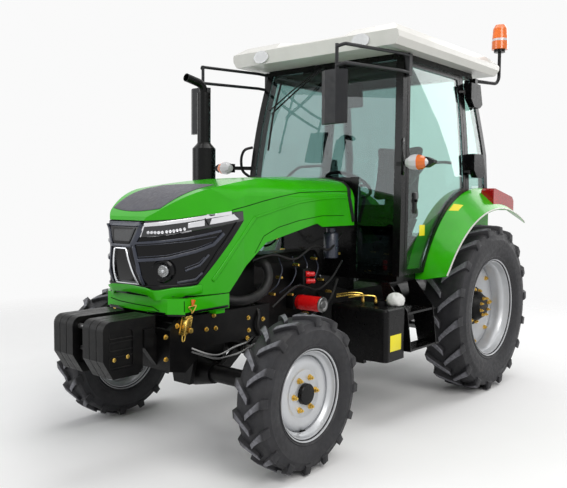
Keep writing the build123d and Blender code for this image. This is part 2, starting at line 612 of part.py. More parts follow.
with BuildPart() as rear_axle_housing:
    for hand in (-1, 1):
        flange_y = REAR_WHEEL.track + REAR_HUB_BACK - SEAT_GAP
        tube_end = flange_y - 90
        axle_plane = Plane(origin=(REAR_AXLE_X, hand * (CASE_HALF_WIDTH + SEAT_GAP), REAR_WHEEL.tip_radius), x_dir=(1, 0, 0),
                           z_dir=(0, hand, 0))
        with BuildSketch(axle_plane.offset(tube_end - CASE_HALF_WIDTH - SEAT_GAP)):
            Circle(88)
        extrude(amount=-(tube_end - CASE_HALF_WIDTH - 10))
        with BuildSketch(axle_plane.offset(tube_end - CASE_HALF_WIDTH - SEAT_GAP)):
            Circle(118)
        extrude(amount=60)
        with BuildSketch(axle_plane.offset(tube_end - CASE_HALF_WIDTH - SEAT_GAP)):
            Circle(REAR_SHAFT_RADIUS)
        extrude(amount=REAR_WHEEL.track + REAR_CAP_END - HUB_WALL - SEAT_GAP - tube_end)
    with BuildSketch(section(-230 - 60)):
        with Locations((0, REAR_WHEEL.tip_radius)):
            Circle(CASE_BARREL_RADIUS + SEAT_GAP)
    extrude(amount=600, mode=Mode.SUBTRACT)
save(rear_axle_housing, "rear_axle_housing")

# ---------------------------------------------------------------- tank, battery box, steps, exhaust
with BuildPart() as fuel_tank:
    with BuildSketch(plan(TANK_BOTTOM)):
        with Locations(((TANK_BACK + TANK_FRONT) / 2, (TANK_INNER + TANK_OUTER) / 2)):
            RectangleRounded(TANK_FRONT - TANK_BACK, TANK_OUTER - TANK_INNER, 36)
    extrude(amount=TANK_TOP - TANK_BOTTOM)
    fillet(fuel_tank.faces().sort_by(Axis.Z)[-1].edges(), 24)
    with BuildSketch(plan(TANK_TOP - 2)):
        with Locations((TANK_BACK + 85, TANK_OUTER - 150)):
            Circle(44)
    extrude(amount=30)
save(fuel_tank, "fuel_tank")

with BuildPart() as battery_box:
    with BuildSketch(plan(TANK_BOTTOM)):
        with Locations(((TANK_BACK + TANK_FRONT) / 2, -(TANK_INNER + BATTERY_OUTER) / 2)):
            RectangleRounded(TANK_FRONT - TANK_BACK - 10, BATTERY_OUTER - TANK_INNER, 12)
    extrude(amount=BATTERY_TOP - TANK_BOTTOM)
    with BuildSketch(plan(BATTERY_TOP - 40)):
        with Locations(((TANK_BACK + TANK_FRONT) / 2, -(TANK_INNER + BATTERY_OUTER) / 2)):
            RectangleRounded(TANK_FRONT - TANK_BACK, BATTERY_OUTER - TANK_INNER + 10, 14)
    extrude(amount=34)
save(battery_box, "battery_box")

STEP_BACK = 755.0
STEP_FRONT = 1160.0
WING_BACK = STEP_BACK + 47      # the cab floor's side wings begin here
STEP_PLATE = 8.0
STEP_TOP = 730.0
STEP_LOW = 485.0
FLOOR_HALF_WIDTH = 655.0
with BuildPart() as cab_steps:
    for ahead in (WING_BACK, STEP_FRONT - STEP_PLATE):
        with BuildSketch(section(ahead)):
            with BuildLine():
                Polyline((FLOOR_HALF_WIDTH - 65, CAB_FLOOR_TOP - CAB_FLOOR - SEAT_GAP),
                         (FLOOR_HALF_WIDTH - 4, CAB_FLOOR_TOP - CAB_FLOOR - SEAT_GAP), (800, STEP_TOP + 12),
                         (830, STEP_LOW + 12), (830, STEP_LOW - 15), (690, STEP_LOW - 15), (640, 700), close=True)
            make_face()
        extrude(amount=STEP_PLATE)
    with BuildSketch(plan(CAB_FLOOR_TOP - CAB_FLOOR - SEAT_GAP)):
        with Locations((WING_BACK + 1, FLOOR_HALF_WIDTH - 65)):
            Rectangle(STEP_FRONT - WING_BACK - 2, 61, align=(Align.MIN, Align.MIN))
    extrude(amount=-STEP_PLATE)
    for height, inner, outer in ((STEP_TOP, 650, 800), (STEP_LOW, 695, 828)):
        with BuildSketch(plan(height - 14)):
            with Locations((STEP_BACK + 1, inner)):
                Rectangle(STEP_FRONT - STEP_BACK - 2, outer - inner, align=(Align.MIN, Align.MIN))
        extrude(amount=14)
    mirror(about=Plane.XZ)
save(cab_steps, "cab_steps")

EXHAUST_X = 1844.0
EXHAUST_Y = -430.0
EXHAUST_PORT_Z = 1000.0
MUFFLER_RADIUS = 80.0
MUFFLER_BOTTOM = 1250.0
MUFFLER_TOP = 1855.0
STACK_RADIUS = 46.0
STACK_TOP = 2205.0
TIP_RADIUS = 28.0
TIP_END = (2008.0, 2290.0)
with BuildPart() as exhaust_stack:
    with BuildLine() as port_line:
        FilletPolyline((EXHAUST_X + REAR_AXLE_X, -ENGINE_HALF_WIDTH + 30 - SEAT_GAP, EXHAUST_PORT_Z),
                       (EXHAUST_X + REAR_AXLE_X, EXHAUST_Y, EXHAUST_PORT_Z),
                       (EXHAUST_X + REAR_AXLE_X, EXHAUST_Y, MUFFLER_BOTTOM + 5), radius=80)
    with BuildSketch(Plane(origin=port_line.line @ 0, z_dir=port_line.line % 0)):
        Circle(32)
    sweep()
    with BuildSketch(side(EXHAUST_Y)):
        with BuildLine():
            Polyline((EXHAUST_X, MUFFLER_BOTTOM), (EXHAUST_X + 60, MUFFLER_BOTTOM),
                     (EXHAUST_X + MUFFLER_RADIUS, MUFFLER_BOTTOM + 30), (EXHAUST_X + MUFFLER_RADIUS, MUFFLER_TOP - 30),
                     (EXHAUST_X + STACK_RADIUS + 6, MUFFLER_TOP), (EXHAUST_X + STACK_RADIUS, MUFFLER_TOP + 10),
                     (EXHAUST_X + STACK_RADIUS, STACK_TOP), (EXHAUST_X, STACK_TOP), close=True)
        make_face()
    revolve(axis=Axis((EXHAUST_X + REAR_AXLE_X, EXHAUST_Y, 0), (0, 0, 1)))
    with BuildLine() as tip_line:
        FilletPolyline((EXHAUST_X + REAR_AXLE_X, EXHAUST_Y, STACK_TOP - 20),
                       (EXHAUST_X + REAR_AXLE_X, EXHAUST_Y, TIP_END[1] - 30),
                       (TIP_END[0] + REAR_AXLE_X, EXHAUST_Y, TIP_END[1]), radius=70)
    with BuildSketch(Plane(origin=tip_line.line @ 0, z_dir=tip_line.line % 0)):
        Circle(TIP_RADIUS)
    sweep()
    with BuildSketch(Plane(origin=tip_line.line @ 1, z_dir=-(tip_line.line % 1))):
        Circle(TIP_RADIUS - 4)
    extrude(amount=60, mode=Mode.SUBTRACT)
save(exhaust_stack, "exhaust_stack")

# ---------------------------------------------------------------- bonnet and nose
BAND_TOP = 940.0
BAND_BOTTOM = 857.0
BAND_HALF_WIDTH = 283.0
BAND_REAR = 2377.0
BONNET_HINGE = (1132.0, 1590.0)
HINGE_PIN_RADIUS = 8.0
BONNET_EAR_Y = 150.0
BADGE_WIDE = 176.0          # half width of the badge plate's outline at 1400 high
BADGE_NARROW = 76.0         # and at 1200 high


def bonnet_envelope(inset):
    """The bonnet's outer form, brought in by a distance: side outline, plan and cross section."""
    with BuildPart() as envelope:
        with BuildSketch(side()):
            with BuildLine():
                Line((1000, BONNET_SECTION_TOP - inset), (1480, BONNET_SECTION_TOP - 2 - inset))
                ThreePointArc((1480, BONNET_SECTION_TOP - 2 - inset), (2059, 1602 - inset), (2476, 1543 - inset))
                ThreePointArc((2476, 1543 - inset), (2680, 1476 - inset), (2828 - inset, 1380 - inset))
                ThreePointArc((2828 - inset, 1380 - inset), (2870 - inset, 1210), (2823 - inset, 1012))
                Polyline((2823 - inset, 1012), (2800 - inset, BAND_TOP), (2700, 860), (1000, 860),
                         (1000, BONNET_SECTION_TOP - inset))
            make_face()
        extrude(amount=BONNET_HALF_WIDTH + 10, both=True)
        with BuildSketch(plan(700)):
            with BuildLine():
                half = BONNET_HALF_WIDTH - inset
                Line((1000, half), (2250, half - 4))
                ThreePointArc((2250, half - 4), (2600, 297 - inset), (2790 - inset, 205 - inset))
                ThreePointArc((2790 - inset, 205 - inset), (2880 - inset, 0), (2790 - inset, inset - 205))
                ThreePointArc((2790 - inset, inset - 205), (2600, inset - 297), (2250, 4 - half))
                Line((2250, 4 - half), (1000, -half))
                Line((1000, -half), (1000, half))
            make_face()
        extrude(amount=1200, mode=Mode.INTERSECT)
        with BuildSketch(section()):
            with BuildLine():
                half = BONNET_HALF_WIDTH - inset
                Line((half, 700), (half, 1470))
                ThreePointArc((half, 1470), (half - 40, 1566 - inset / 2), (half - 130, 1612 - inset))
                ThreePointArc((half - 130, 1612 - inset), (0, BONNET_SECTION_TOP + 4 - inset), (130 - half, 1612 - inset))
                ThreePointArc((130 - half, 1612 - inset), (40 - half, 1566 - inset / 2), (-half, 1470))
                Polyline((-half, 1470), (-half, 700), (half, 700))
            make_face()
        extrude(amount=4000, mode=Mode.INTERSECT)
    return envelope.part


def bonnet_zone(*points):
    """A prism across the bonnet from a closed side outline."""
    with BuildPart() as zone:
        with BuildSketch(side()):
            with BuildLine():
                Polyline(*points, close=True)
            make_face()
        extrude(amount=600, both=True)
    return zone.part


with BuildPart() as bonnet_skin:
    add(bonnet_envelope(0))
    add(bonnet_envelope(BONNET_SKIN), mode=Mode.SUBTRACT)

with BuildPart() as nose_skin:
    add(bonnet_envelope(0))
    add(bonnet_envelope(2.6 * BONNET_SKIN), mode=Mode.SUBTRACT)

# side outlines, from the rear to the front
LOWER_EDGE = [(BONNET_BACK, 1302), (1490, 1298), (1553, 1322), (2055, 1217), (2231, 1090), (2377, BAND_TOP + 6)]
GRILLE_TOP_REAR = (2254, 1354)
GRILLE_SIDE_LOW = (2640, BAND_TOP + 6)
LAMP_TOP = [(2262, 1408), (2528, 1390), (2700, 1366), (2900, 1352)]
LAMP_BOTTOM = [(2900, 1262), (2810, 1275), (2701, 1289), (2502, 1321), GRILLE_TOP_REAR]

with BuildPart() as bonnet_panels:
    add(bonnet_skin.part)
    add(bonnet_zone((BONNET_BACK, 1300), LOWER_EDGE[1], LOWER_EDGE[2], LOWER_EDGE[3], LOWER_EDGE[4], LOWER_EDGE[5],
                    (GRILLE_SIDE_LOW[0] + PANEL_GAP - SLANT_GAP, GRILLE_SIDE_LOW[1]),
                    (GRILLE_TOP_REAR[0] - SLANT_GAP, GRILLE_TOP_REAR[1]),
                    (LAMP_TOP[0][0] - SLANT_GAP, LAMP_TOP[0][1] + PANEL_GAP), (LAMP_TOP[1][0], LAMP_TOP[1][1] + PANEL_GAP),
                    (LAMP_TOP[2][0], LAMP_TOP[2][1] + PANEL_GAP), (LAMP_TOP[3][0], LAMP_TOP[3][1] + PANEL_GAP),
                    (2900, 1700), (BONNET_BACK, 1700)), mode=Mode.INTERSECT)
    # hinge ears under the rear edge
    for hand in (-1, 1):
        with BuildSketch(side(hand * (BONNET_EAR_Y + 4))):
            with BuildLine():
                Polyline((BONNET_HINGE[0] - 8, BONNET_HINGE[1]), (BONNET_BACK + 1, 1617), (BONNET_HINGE[0] + 90, 1617),
                         (BONNET_HINGE[0] + 16, BONNET_HINGE[1]), close=True)
            make_face()
            with Locations(BONNET_HINGE):
                Circle(16)
                Circle(HINGE_PIN_RADIUS + RUNNING_FIT, mode=Mode.SUBTRACT)
        extrude(amount=4, both=True)
save(bonnet_panels, "bonnet_panels")

with BuildPart() as badge_plate:
    add(nose_skin.part)
    with BuildSketch(section(2600)):
        with BuildLine():
            Polyline((-BADGE_WIDE + PANEL_GAP, 1400), (BADGE_WIDE - PANEL_GAP, 1400),
                     (BADGE_NARROW - PANEL_GAP, 1200), (PANEL_GAP - BADGE_NARROW, 1200), close=True)
        make_face()
    extrude(amount=400, mode=Mode.INTERSECT)
    add(bonnet_zone((2500, 1250), (2500, LAMP_TOP[3][1]), (2950, LAMP_TOP[3][1]), (2950, 1250)),
        mode=Mode.INTERSECT)

with BuildPart() as grille:
    add(nose_skin.part)
    add(bonnet_zone(GRILLE_TOP_REAR, (LAMP_BOTTOM[3][0], LAMP_BOTTOM[3][1] - PANEL_GAP),
                    (LAMP_BOTTOM[2][0], LAMP_BOTTOM[2][1] - PANEL_GAP),
                    (LAMP_BOTTOM[1][0], LAMP_BOTTOM[1][1] - PANEL_GAP),
                    (LAMP_BOTTOM[0][0], LAMP_BOTTOM[0][1] - PANEL_GAP), (2900, BAND_TOP + 6),
                    (GRILLE_SIDE_LOW[0] + PANEL_GAP, GRILLE_SIDE_LOW[1])), mode=Mode.INTERSECT)
    # bare plate between the headlights
    add(badge_plate.part)
save(grille, "grille")

with BuildPart() as headlights:
    add(nose_skin.part)
    add(bonnet_zone(*LAMP_TOP, *LAMP_BOTTOM), mode=Mode.INTERSECT)
    with BuildSketch(section(2600)):
        with BuildLine():
            Polyline((-BADGE_WIDE, 1400), (BADGE_WIDE, 1400), (BADGE_NARROW, 1200), (-BADGE_NARROW, 1200), close=True)
        make_face()
    extrude(amount=400, mode=Mode.SUBTRACT)
save(headlights, "headlights")

with BuildPart() as bumper_band:
    with BuildSketch(plan(BAND_BOTTOM)):
        with BuildLine():
            Polyline((BAND_REAR, BONNET_HALF_WIDTH), (2715, BONNET_HALF_WIDTH), (2772, BAND_HALF_WIDTH - 20),
                     (2782, 0), (2782 - 40, 0), (2735, BAND_HALF_WIDTH - 40), (2690, BONNET_HALF_WIDTH - 34),
                     (BAND_REAR, BONNET_HALF_WIDTH - 34), close=True)
        make_face()
        mirror(about=Plane.XZ)
    extrude(amount=BAND_TOP - BAND_BOTTOM)
    for hand in (-1, 1):
        with BuildSketch(side(hand * (FRAME_HALF_WIDTH - 14))):
            with BuildLine():
                Polyline((2400, FRAME_TOP + SEAT_GAP), (2470, FRAME_TOP + SEAT_GAP), (2470, BAND_BOTTOM + 40),
                         (2400, BAND_BOTTOM + 40), close=True)
            make_face()
        extrude(amount=-hand * 60)
save(bumper_band, "bumper_band")

# ---------------------------------------------------------------- cab
HINGE_LEAN = atan2(697 - 628, 800)
HINGE_LOW_Y = 724.0
HINGE_LOW_Z = 1600.0
HINGE_X = DOOR_REAR - 3
HINGE_HEIGHTS = (80.0, 700.0)      # along the leaning hinge line, above its lower end
HINGE_LUG = 16.0
DOOR_PIN_RADIUS = 7.0


def hinge_plane(along):
    """Plane across the left door's leaning hinge line."""
    lean = (0, -sin(HINGE_LEAN), cos(HINGE_LEAN))
    origin = (REAR_AXLE_X + HINGE_X, HINGE_LOW_Y + along * lean[1], HINGE_LOW_Z + along * lean[2])
    return Plane(origin=origin, x_dir=(1, 0, 0), z_dir=lean)


with BuildPart() as cab_frame:
    add(cab_shell(0, CAB_WALL))
    for hand in (-1, 1):
        with BuildSketch(side(hand * 300)):
            add(door_outline(0))
            add(quarter_outline(0))
        extrude(amount=-hand * 600, mode=Mode.SUBTRACT)
    with BuildSketch(section(700)):
        add(face_outline(PILLAR_WIDTH, 900, DOOR_TOP))
    extrude(amount=900, mode=Mode.SUBTRACT)
    with BuildSketch(section(200)):
        add(face_outline(PILLAR_WIDTH, CAB_FLOOR_TOP, DOOR_TOP))
    extrude(amount=-900, mode=Mode.SUBTRACT)
    # only the posts and the rail under the roof are steel
    with BuildSketch(plan(CAB_FLOOR_TOP + SEAT_GAP)):
        Rectangle(5000, 3000)
    extrude(amount=ROOF_BOTTOM - CAB_FLOOR_TOP - 2 * SEAT_GAP, mode=Mode.INTERSECT)
    with BuildSketch(side()):
        with Locations(RIDGE_CENTRE):
            Circle(RIDGE_RADIUS + SEAT_GAP)
        Rectangle(5000, 2 * 900, mode=Mode.SUBTRACT)
        with Locations((1000, 900)):
            Rectangle(400, 4000, mode=Mode.SUBTRACT)
    extrude(amount=900, both=True, mode=Mode.SUBTRACT)
    for along in HINGE_HEIGHTS:
        with BuildSketch(hinge_plane(along)):
            with Locations((-27, -32)):
                Circle(11)
            Circle(12)
            make_hull()
        extrude(amount=HINGE_LUG)
        with BuildSketch(hinge_plane(along)):
            Circle(DOOR_PIN_RADIUS)
        extrude(amount=2.2 * HINGE_LUG)
        with BuildSketch(hinge_plane(along)):
            with Locations((-27, -32)):
                Circle(11)
            Circle(12)
            make_hull()
        extrude(amount=HINGE_LUG)
    mirror(about=Plane.XZ)
    # joints between the posts and the four bars of the roof rail
    with BuildSketch(plan(DOOR_TOP - SEAT_GAP)):
        Rectangle(5000, 3000)
    extrude(amount=SEAT_GAP, mode=Mode.SUBTRACT)
    for ahead in (860, -40):
        with BuildSketch(section(ahead)):
            with Locations((0, DOOR_TOP)):
                Rectangle(3000, 200, align=(Align.CENTER, Align.MIN))
        extrude(amount=SEAT_GAP, mode=Mode.SUBTRACT)
save(cab_frame, "cab_frame")

for side_name, hand in (("left", 1), ("right", -1)):
    with BuildPart() as door:
        add(cab_shell(0, DOOR_THICKNESS))
        with BuildSketch(side(300)):
            add(door_outline(MOVING_GAP))
            add(door_outline(MOVING_GAP + DOOR_RAIL), mode=Mode.SUBTRACT)
        extrude(amount=-500, mode=Mode.INTERSECT)
        for along in HINGE_HEIGHTS:
            with BuildSketch(hinge_plane(along + HINGE_LUG + SEAT_GAP)):
                with Locations((27, -32)):
                    Circle(11)
                Circle(12)
                make_hull()
                Circle(DOOR_PIN_RADIUS + RUNNING_FIT, mode=Mode.SUBTRACT)
            extrude(amount=HINGE_LUG)
    with BuildPart() as pane:
        add(cab_shell(GLASS_SETBACK, GLASS_SETBACK + GLASS))
        with BuildSketch(side(300)):
            add(door_outline(MOVING_GAP + DOOR_RAIL + SEAT_GAP))
        extrude(amount=-500, mode=Mode.INTERSECT)
    if hand < 0:
        with BuildPart() as door_right:
            mirror(door.part, about=Plane.XZ)
        with BuildPart() as pane_right:
            mirror(pane.part, about=Plane.XZ)
        save(door_right, "door_right")
        save(pane_right, "door_glass_right")
    else:
        save(door, "door_left")
        save(pane, "door_glass_left")

with BuildPart() as windscreen:
    add(cab_shell(GLASS_SETBACK, GLASS_SETBACK + GLASS))
    with BuildSketch(section(700)):
        add(face_outline(PILLAR_WIDTH + SEAT_GAP, CAB_FLOOR_TOP, DOOR_TOP - SEAT_GAP))
        with Locations((0, 0)):
            Rectangle(2 * FIREWALL_HALF_WIDTH + 2 * SEAT_GAP, 2 * FIREWALL_TOP + 2 * SEAT_GAP, mode=Mode.SUBTRACT)
    extrude(amount=900, mode=Mode.INTERSECT)
save(windscreen, "windscreen")

with BuildPart() as quarter_openings:
    with BuildSketch(side()):
        add(quarter_outline(SEAT_GAP))
    extrude(amount=900, both=True)

with BuildPart() as rear_pane:
    add(cab_shell(GLASS_SETBACK, GLASS_SETBACK + GLASS))
    with BuildSketch(section(200)):
        add(face_outline(PILLAR_WIDTH + SEAT_GAP, DECK_TOP + SEAT_GAP, DOOR_TOP - SEAT_GAP))
        for hand in (-1, 1):
            with Locations((hand * (FENDER_INNER_Y - SEAT_GAP), 1600)):
                Rectangle(400, 1200, align=(Align.MIN if hand > 0 else Align.MAX, Align.MAX), mode=Mode.SUBTRACT)
    extrude(amount=-900, mode=Mode.INTERSECT)

with BuildPart() as rear_windows:
    add(cab_shell(GLASS_SETBACK, GLASS_SETBACK + GLASS))
    add(quarter_openings.part, mode=Mode.INTERSECT)
    add(rear_pane.part)
save(rear_windows, "rear_windows")

WORK_LAMP_HEIGHT = 2546.0
WORK_LAMP_HALF_WIDTH = 70.0
WORK_LAMP_HALF_HEIGHT = 46.0
# columns: where the pocket's floor is, distance from the middle, reach of the lamp
WORK_LAMPS = ((1165.0, 448.0, 78.0), (-290.0, 448.0, -74.0))
with BuildPart() as roof:
    with BuildSketch(side()):
        with BuildLine():
            Polyline((1225, ROOF_BOTTOM), (-335, ROOF_BOTTOM), (-362, 2572), (-250, 2650))
            ThreePointArc((-250, 2650), (420, 2700), (1150, 2650))
            Polyline((1150, 2650), (1240, 2590), (1225, ROOF_BOTTOM))
        make_face()
    extrude(amount=745, both=True)
    with BuildSketch(section()):
        with BuildLine():
            Polyline((715, ROOF_BOTTOM), (742, 2540), (738, 2580), (680, 2640), (560, 2690), (0, 2702))
            Polyline((0, 2702), (-560, 2690), (-680, 2640), (-738, 2580), (-742, 2540), (-715, ROOF_BOTTOM), (715, ROOF_BOTTOM))
        make_face()
    extrude(amount=3000, both=True, mode=Mode.INTERSECT)
    with BuildSketch(plan(ROOF_BOTTOM)):
        with Locations((420, 0)):
            RectangleRounded(960, 1080, 90)
    extrude(amount=120, mode=Mode.SUBTRACT)
    # hollow between the two humps at the front
    for ahead, half_floor, floor in ((1260, 314, 2592), (880, 250, 2694)):
        with BuildSketch(section(ahead)):
            with BuildLine():
                Polyline((-half_floor, floor), (half_floor, floor), (430, 2720), (-430, 2720), close=True)
            make_face()
    loft(ruled=True, mode=Mode.SUBTRACT)
    for ahead, across, reach in WORK_LAMPS:
        for hand in (-1, 1):
            with BuildSketch(section(ahead)):
                with Locations((hand * across, WORK_LAMP_HEIGHT)):
                    Ellipse(WORK_LAMP_HALF_WIDTH + SEAT_GAP, WORK_LAMP_HALF_HEIGHT + SEAT_GAP)
            extrude(amount=2 * reach, mode=Mode.SUBTRACT)
save(roof, "roof")

# ---------------------------------------------------------------- cab floor, firewall, inside
FIREWALL_BACK = 1060.0
FIREWALL_FRONT = 1085.0
SEAL_FRONT = 1118.0
with BuildPart() as cab_floor:
    with BuildSketch(side()):
        with BuildLine():
            Polyline((FIREWALL_BACK - SEAT_GAP, CAB_FLOOR_TOP), (330, CAB_FLOOR_TOP), (290, DECK_TOP),
                     (CAB_REAR + 5, DECK_TOP), (CAB_REAR + 5, DECK_TOP - 35), (255, DECK_TOP - 35),
                     (290, CAB_FLOOR_TOP - CAB_FLOOR), (FIREWALL_BACK - SEAT_GAP, CAB_FLOOR_TOP - CAB_FLOOR), close=True)
        make_face()
    extrude(amount=FENDER_INNER_Y - SEAT_GAP, both=True)
    with BuildSketch(plan(CAB_FLOOR_TOP - CAB_FLOOR)):
        with Locations((WING_BACK, 0)):
            Rectangle(FIREWALL_BACK - SEAT_GAP - WING_BACK, 2 * FLOOR_HALF_WIDTH, align=(Align.MIN, Align.CENTER))
    extrude(amount=CAB_FLOOR)
    # mounts down to the gearbox
    for ahead, low, high in ((880, 800, CAB_FLOOR_TOP - 20), (70, 860, DECK_TOP - 20)):
        with BuildSketch(section(ahead)):
            with Locations((0, low + SEAT_GAP)):
                Rectangle(260, high - low, align=(Align.CENTER, Align.MIN))
        extrude(amount=-70)
save(cab_floor, "cab_floor")

# raised seal that the bonnet's rear edge closes against
with BuildPart() as bonnet_seal:
    add(bonnet_envelope(14))
    add(bonnet_envelope(44), mode=Mode.SUBTRACT)
    with BuildSketch(side()):
        with Locations((FIREWALL_FRONT - 10, 1310)):
            Rectangle(SEAL_FRONT - FIREWALL_FRONT + 10, 190, align=(Align.MIN, Align.MIN))
    extrude(amount=900, both=True, mode=Mode.INTERSECT)

with BuildPart() as firewall:
    with BuildSketch(section(FIREWALL_BACK)):
        with Locations((0, CAB_FLOOR_TOP - CAB_FLOOR)):
            Rectangle(2 * FIREWALL_HALF_WIDTH, FIREWALL_TOP - CAB_FLOOR_TOP + CAB_FLOOR, align=(Align.CENTER, Align.MIN))
    extrude(amount=FIREWALL_FRONT - FIREWALL_BACK)
    add(bonnet_seal.part)
    for hand in (-1, 1):
        with BuildSketch(side(hand * (BONNET_EAR_Y - SEAT_GAP - 5))):
            with BuildLine():
                Polyline((FIREWALL_FRONT - 8, BONNET_HINGE[1] - 90), (FIREWALL_FRONT - 8, BONNET_HINGE[1] - 20),
                         (BONNET_HINGE[0] - 8, BONNET_HINGE[1] + 10), (BONNET_HINGE[0] + 8, BONNET_HINGE[1] - 10), close=True)
            make_face()
            with Locations(BONNET_HINGE):
                Circle(14)
        extrude(amount=5, both=True)
        with BuildSketch(side(hand * (BONNET_EAR_Y - 6))):
            with Locations(BONNET_HINGE):
                Circle(HINGE_PIN_RADIUS)
        extrude(amount=-hand * 22)
save(firewall, "firewall")

WHEEL_CENTRE = (730.0, 1590.0)
COLUMN_TILT = 30.0
column_plane = Plane(origin=(REAR_AXLE_X + WHEEL_CENTRE[0], 0, WHEEL_CENTRE[1]), x_dir=(0, 1, 0),
                     z_dir=(-sin(radians(COLUMN_TILT)), 0, cos(radians(COLUMN_TILT))))
with BuildPart() as dash_console:
    with BuildSketch(side()):
        with BuildLine():
            Polyline((FIREWALL_BACK - SEAT_GAP, CAB_FLOOR_TOP + SEAT_GAP), (FIREWALL_BACK - SEAT_GAP, 1560), (960, 1585),
                     (880, 1500), (860, 1330), (960, 1240), (970, CAB_FLOOR_TOP + SEAT_GAP), close=True)
        make_face()
    extrude(amount=185, both=True)
    with BuildSketch(column_plane.offset(-30 - SEAT_GAP)):
        Circle(30)
    extrude(amount=-260)
    with BuildSketch(column_plane.offset(-30 - SEAT_GAP)):
        Circle(9)
    extrude(amount=20)
save(dash_console, "dash_console")

RIM_OF_WHEEL = 190.0
with BuildPart() as steering_wheel:
    with BuildSketch(Plane(origin=column_plane.origin, x_dir=(0, 1, 0), z_dir=column_plane.x_dir.cross(column_plane.z_dir))):
        with Locations((RIM_OF_WHEEL, 0)):
            RegularPolygon(13, 6)
    revolve(axis=Axis(column_plane.origin, column_plane.z_dir))
    with BuildSketch(column_plane.offset(-30)):
        Circle(34)
        Circle(9 + RUNNING_FIT, mode=Mode.SUBTRACT)
    extrude(amount=21)
    with BuildSketch(column_plane.offset(-9)):
        Circle(34)
    extrude(amount=12)
    with BuildSketch(column_plane.offset(-6)):
        with PolarLocations((RIM_OF_WHEEL + 20) / 2, 3):
            Rectangle(RIM_OF_WHEEL - 30, 24)
    extrude(amount=9)
save(steering_wheel, "steering_wheel")

with BuildPart() as side_console:
    with BuildSketch(side(-FENDER_INNER_Y + SEAT_GAP)):
        with BuildLine():
            Polyline((-120, DECK_TOP + SEAT_GAP), (-120, 1420), (250, 1440), (430, 1400), (430, 1330), (280, DECK_TOP + SEAT_GAP),
                     close=True)
        make_face()
    extrude(amount=-210)
save(side_console, "side_console")

with BuildPart() as seat_base:
    with BuildSketch(plan(DECK_TOP + SEAT_GAP)):
        with Locations((120, 0)):
            RectangleRounded(300, 300, 20)
    with BuildSketch(plan(DECK_TOP + 130)):
        with Locations((140, 0)):
            RectangleRounded(380, 380, 20)
    loft(ruled=True)
    with BuildSketch(side()):
        with BuildLine():
            Polyline((-20, DECK_TOP + 90), (-20, DECK_TOP + 130), (-46, DECK_TOP + 130), (-118, 1800), (-138, 1800),
                     (-72, DECK_TOP + 90), close=True)
        make_face()
    extrude(amount=150, both=True)
save(seat_base, "seat_base")

CUSHION_LOW = DECK_TOP + 130 + SEAT_GAP
BACK_LOW_X = -46 - 72 * (1450 - DECK_TOP - 130) / (1800 - DECK_TOP - 130) + SLANT_GAP
with BuildPart() as seat_cushions:
    with BuildSketch(plan(CUSHION_LOW)):
        with Locations((190, 0)):
            RectangleRounded(470, 480, 60)
    extrude(amount=105)
    with BuildSketch(side()):
        with BuildLine():
            Polyline((BACK_LOW_X, 1450), (62, 1450), (-10, 1960), (-95, 1960), (-118 + SLANT_GAP, 1800), close=True)
        make_face()
    extrude(amount=230, both=True)
save(seat_cushions, "seat_cushions")

# ---------------------------------------------------------------- fenders and lamps
RIDGE_ANGLES = (18.0, 125.0)
OUTER_ANGLES = (35.0, 117.0)


def arc_band(centre, radius, skin, angles):
    """Closed band under an arc, skin deep, between two angles."""
    with BuildSketch(Plane.XY) as band:
        with BuildLine():
            top = CenterArc(centre, radius, angles[0], angles[1] - angles[0])
            under = CenterArc(centre, radius - skin, angles[0], angles[1] - angles[0])
            Line(top @ 0, under @ 0)
            Line(top @ 1, under @ 1)
        make_face()
    return band.sketch


def fender_loft(raised, skin):
    """The left fender's slanting top, raised by a gap and skin deep."""
    with BuildPart() as slope:
        with BuildSketch(side(FENDER_RIDGE_Y)):
            add(arc_band(RIDGE_CENTRE, RIDGE_RADIUS + raised, skin, RIDGE_ANGLES))
        with BuildSketch(side(FENDER_OUTER_Y)):
            add(arc_band(OUTER_CENTRE, OUTER_RADIUS + raised, skin, OUTER_ANGLES))
        loft(ruled=True)
    return slope.part


with BuildPart() as fenders:
    add(fender_loft(0, FENDER_SKIN))
    with BuildSketch(side(FENDER_RIDGE_Y)):
        add(arc_band(RIDGE_CENTRE, RIDGE_RADIUS, FENDER_SKIN, RIDGE_ANGLES))
    extrude(amount=FENDER_RIDGE_Y - FENDER_INNER_Y)
    with BuildSketch(side(FENDER_INNER_Y)):
        with Locations(RIDGE_CENTRE):
            Circle(RIDGE_RADIUS - 1)
        with Locations((-600, CAB_FLOOR_TOP - CAB_FLOOR)):
            Rectangle(STEP_BACK + 600, 2000, align=(Align.MIN, Align.MIN), mode=Mode.INTERSECT)
    extrude(amount=-FENDER_SKIN)
    mirror(about=Plane.XZ)
save(fenders, "fenders")

with BuildPart() as tail_lamps:
    with BuildSketch(side(745)):
        with BuildLine():
            Polyline((-62, 1400), (-62, 1560), (-90, 1577), (-430, 1512), (-461, 1480), (-461, 1300), close=True)
        make_face()
    extrude(amount=-105)
    add(fender_loft(SEAT_GAP, 400), mode=Mode.SUBTRACT)
    mirror(about=Plane.XZ)
save(tail_lamps, "tail_lamps")

with BuildPart() as work_lamps:
    for ahead, across, reach in WORK_LAMPS:
        for hand in (-1, 1):
            with BuildSketch(section(ahead + (SEAT_GAP if reach > 0 else -SEAT_GAP))):
                with Locations((hand * across, WORK_LAMP_HEIGHT)):
                    Ellipse(WORK_LAMP_HALF_WIDTH, WORK_LAMP_HALF_HEIGHT)
            extrude(amount=reach)
save(work_lamps, "work_lamps")

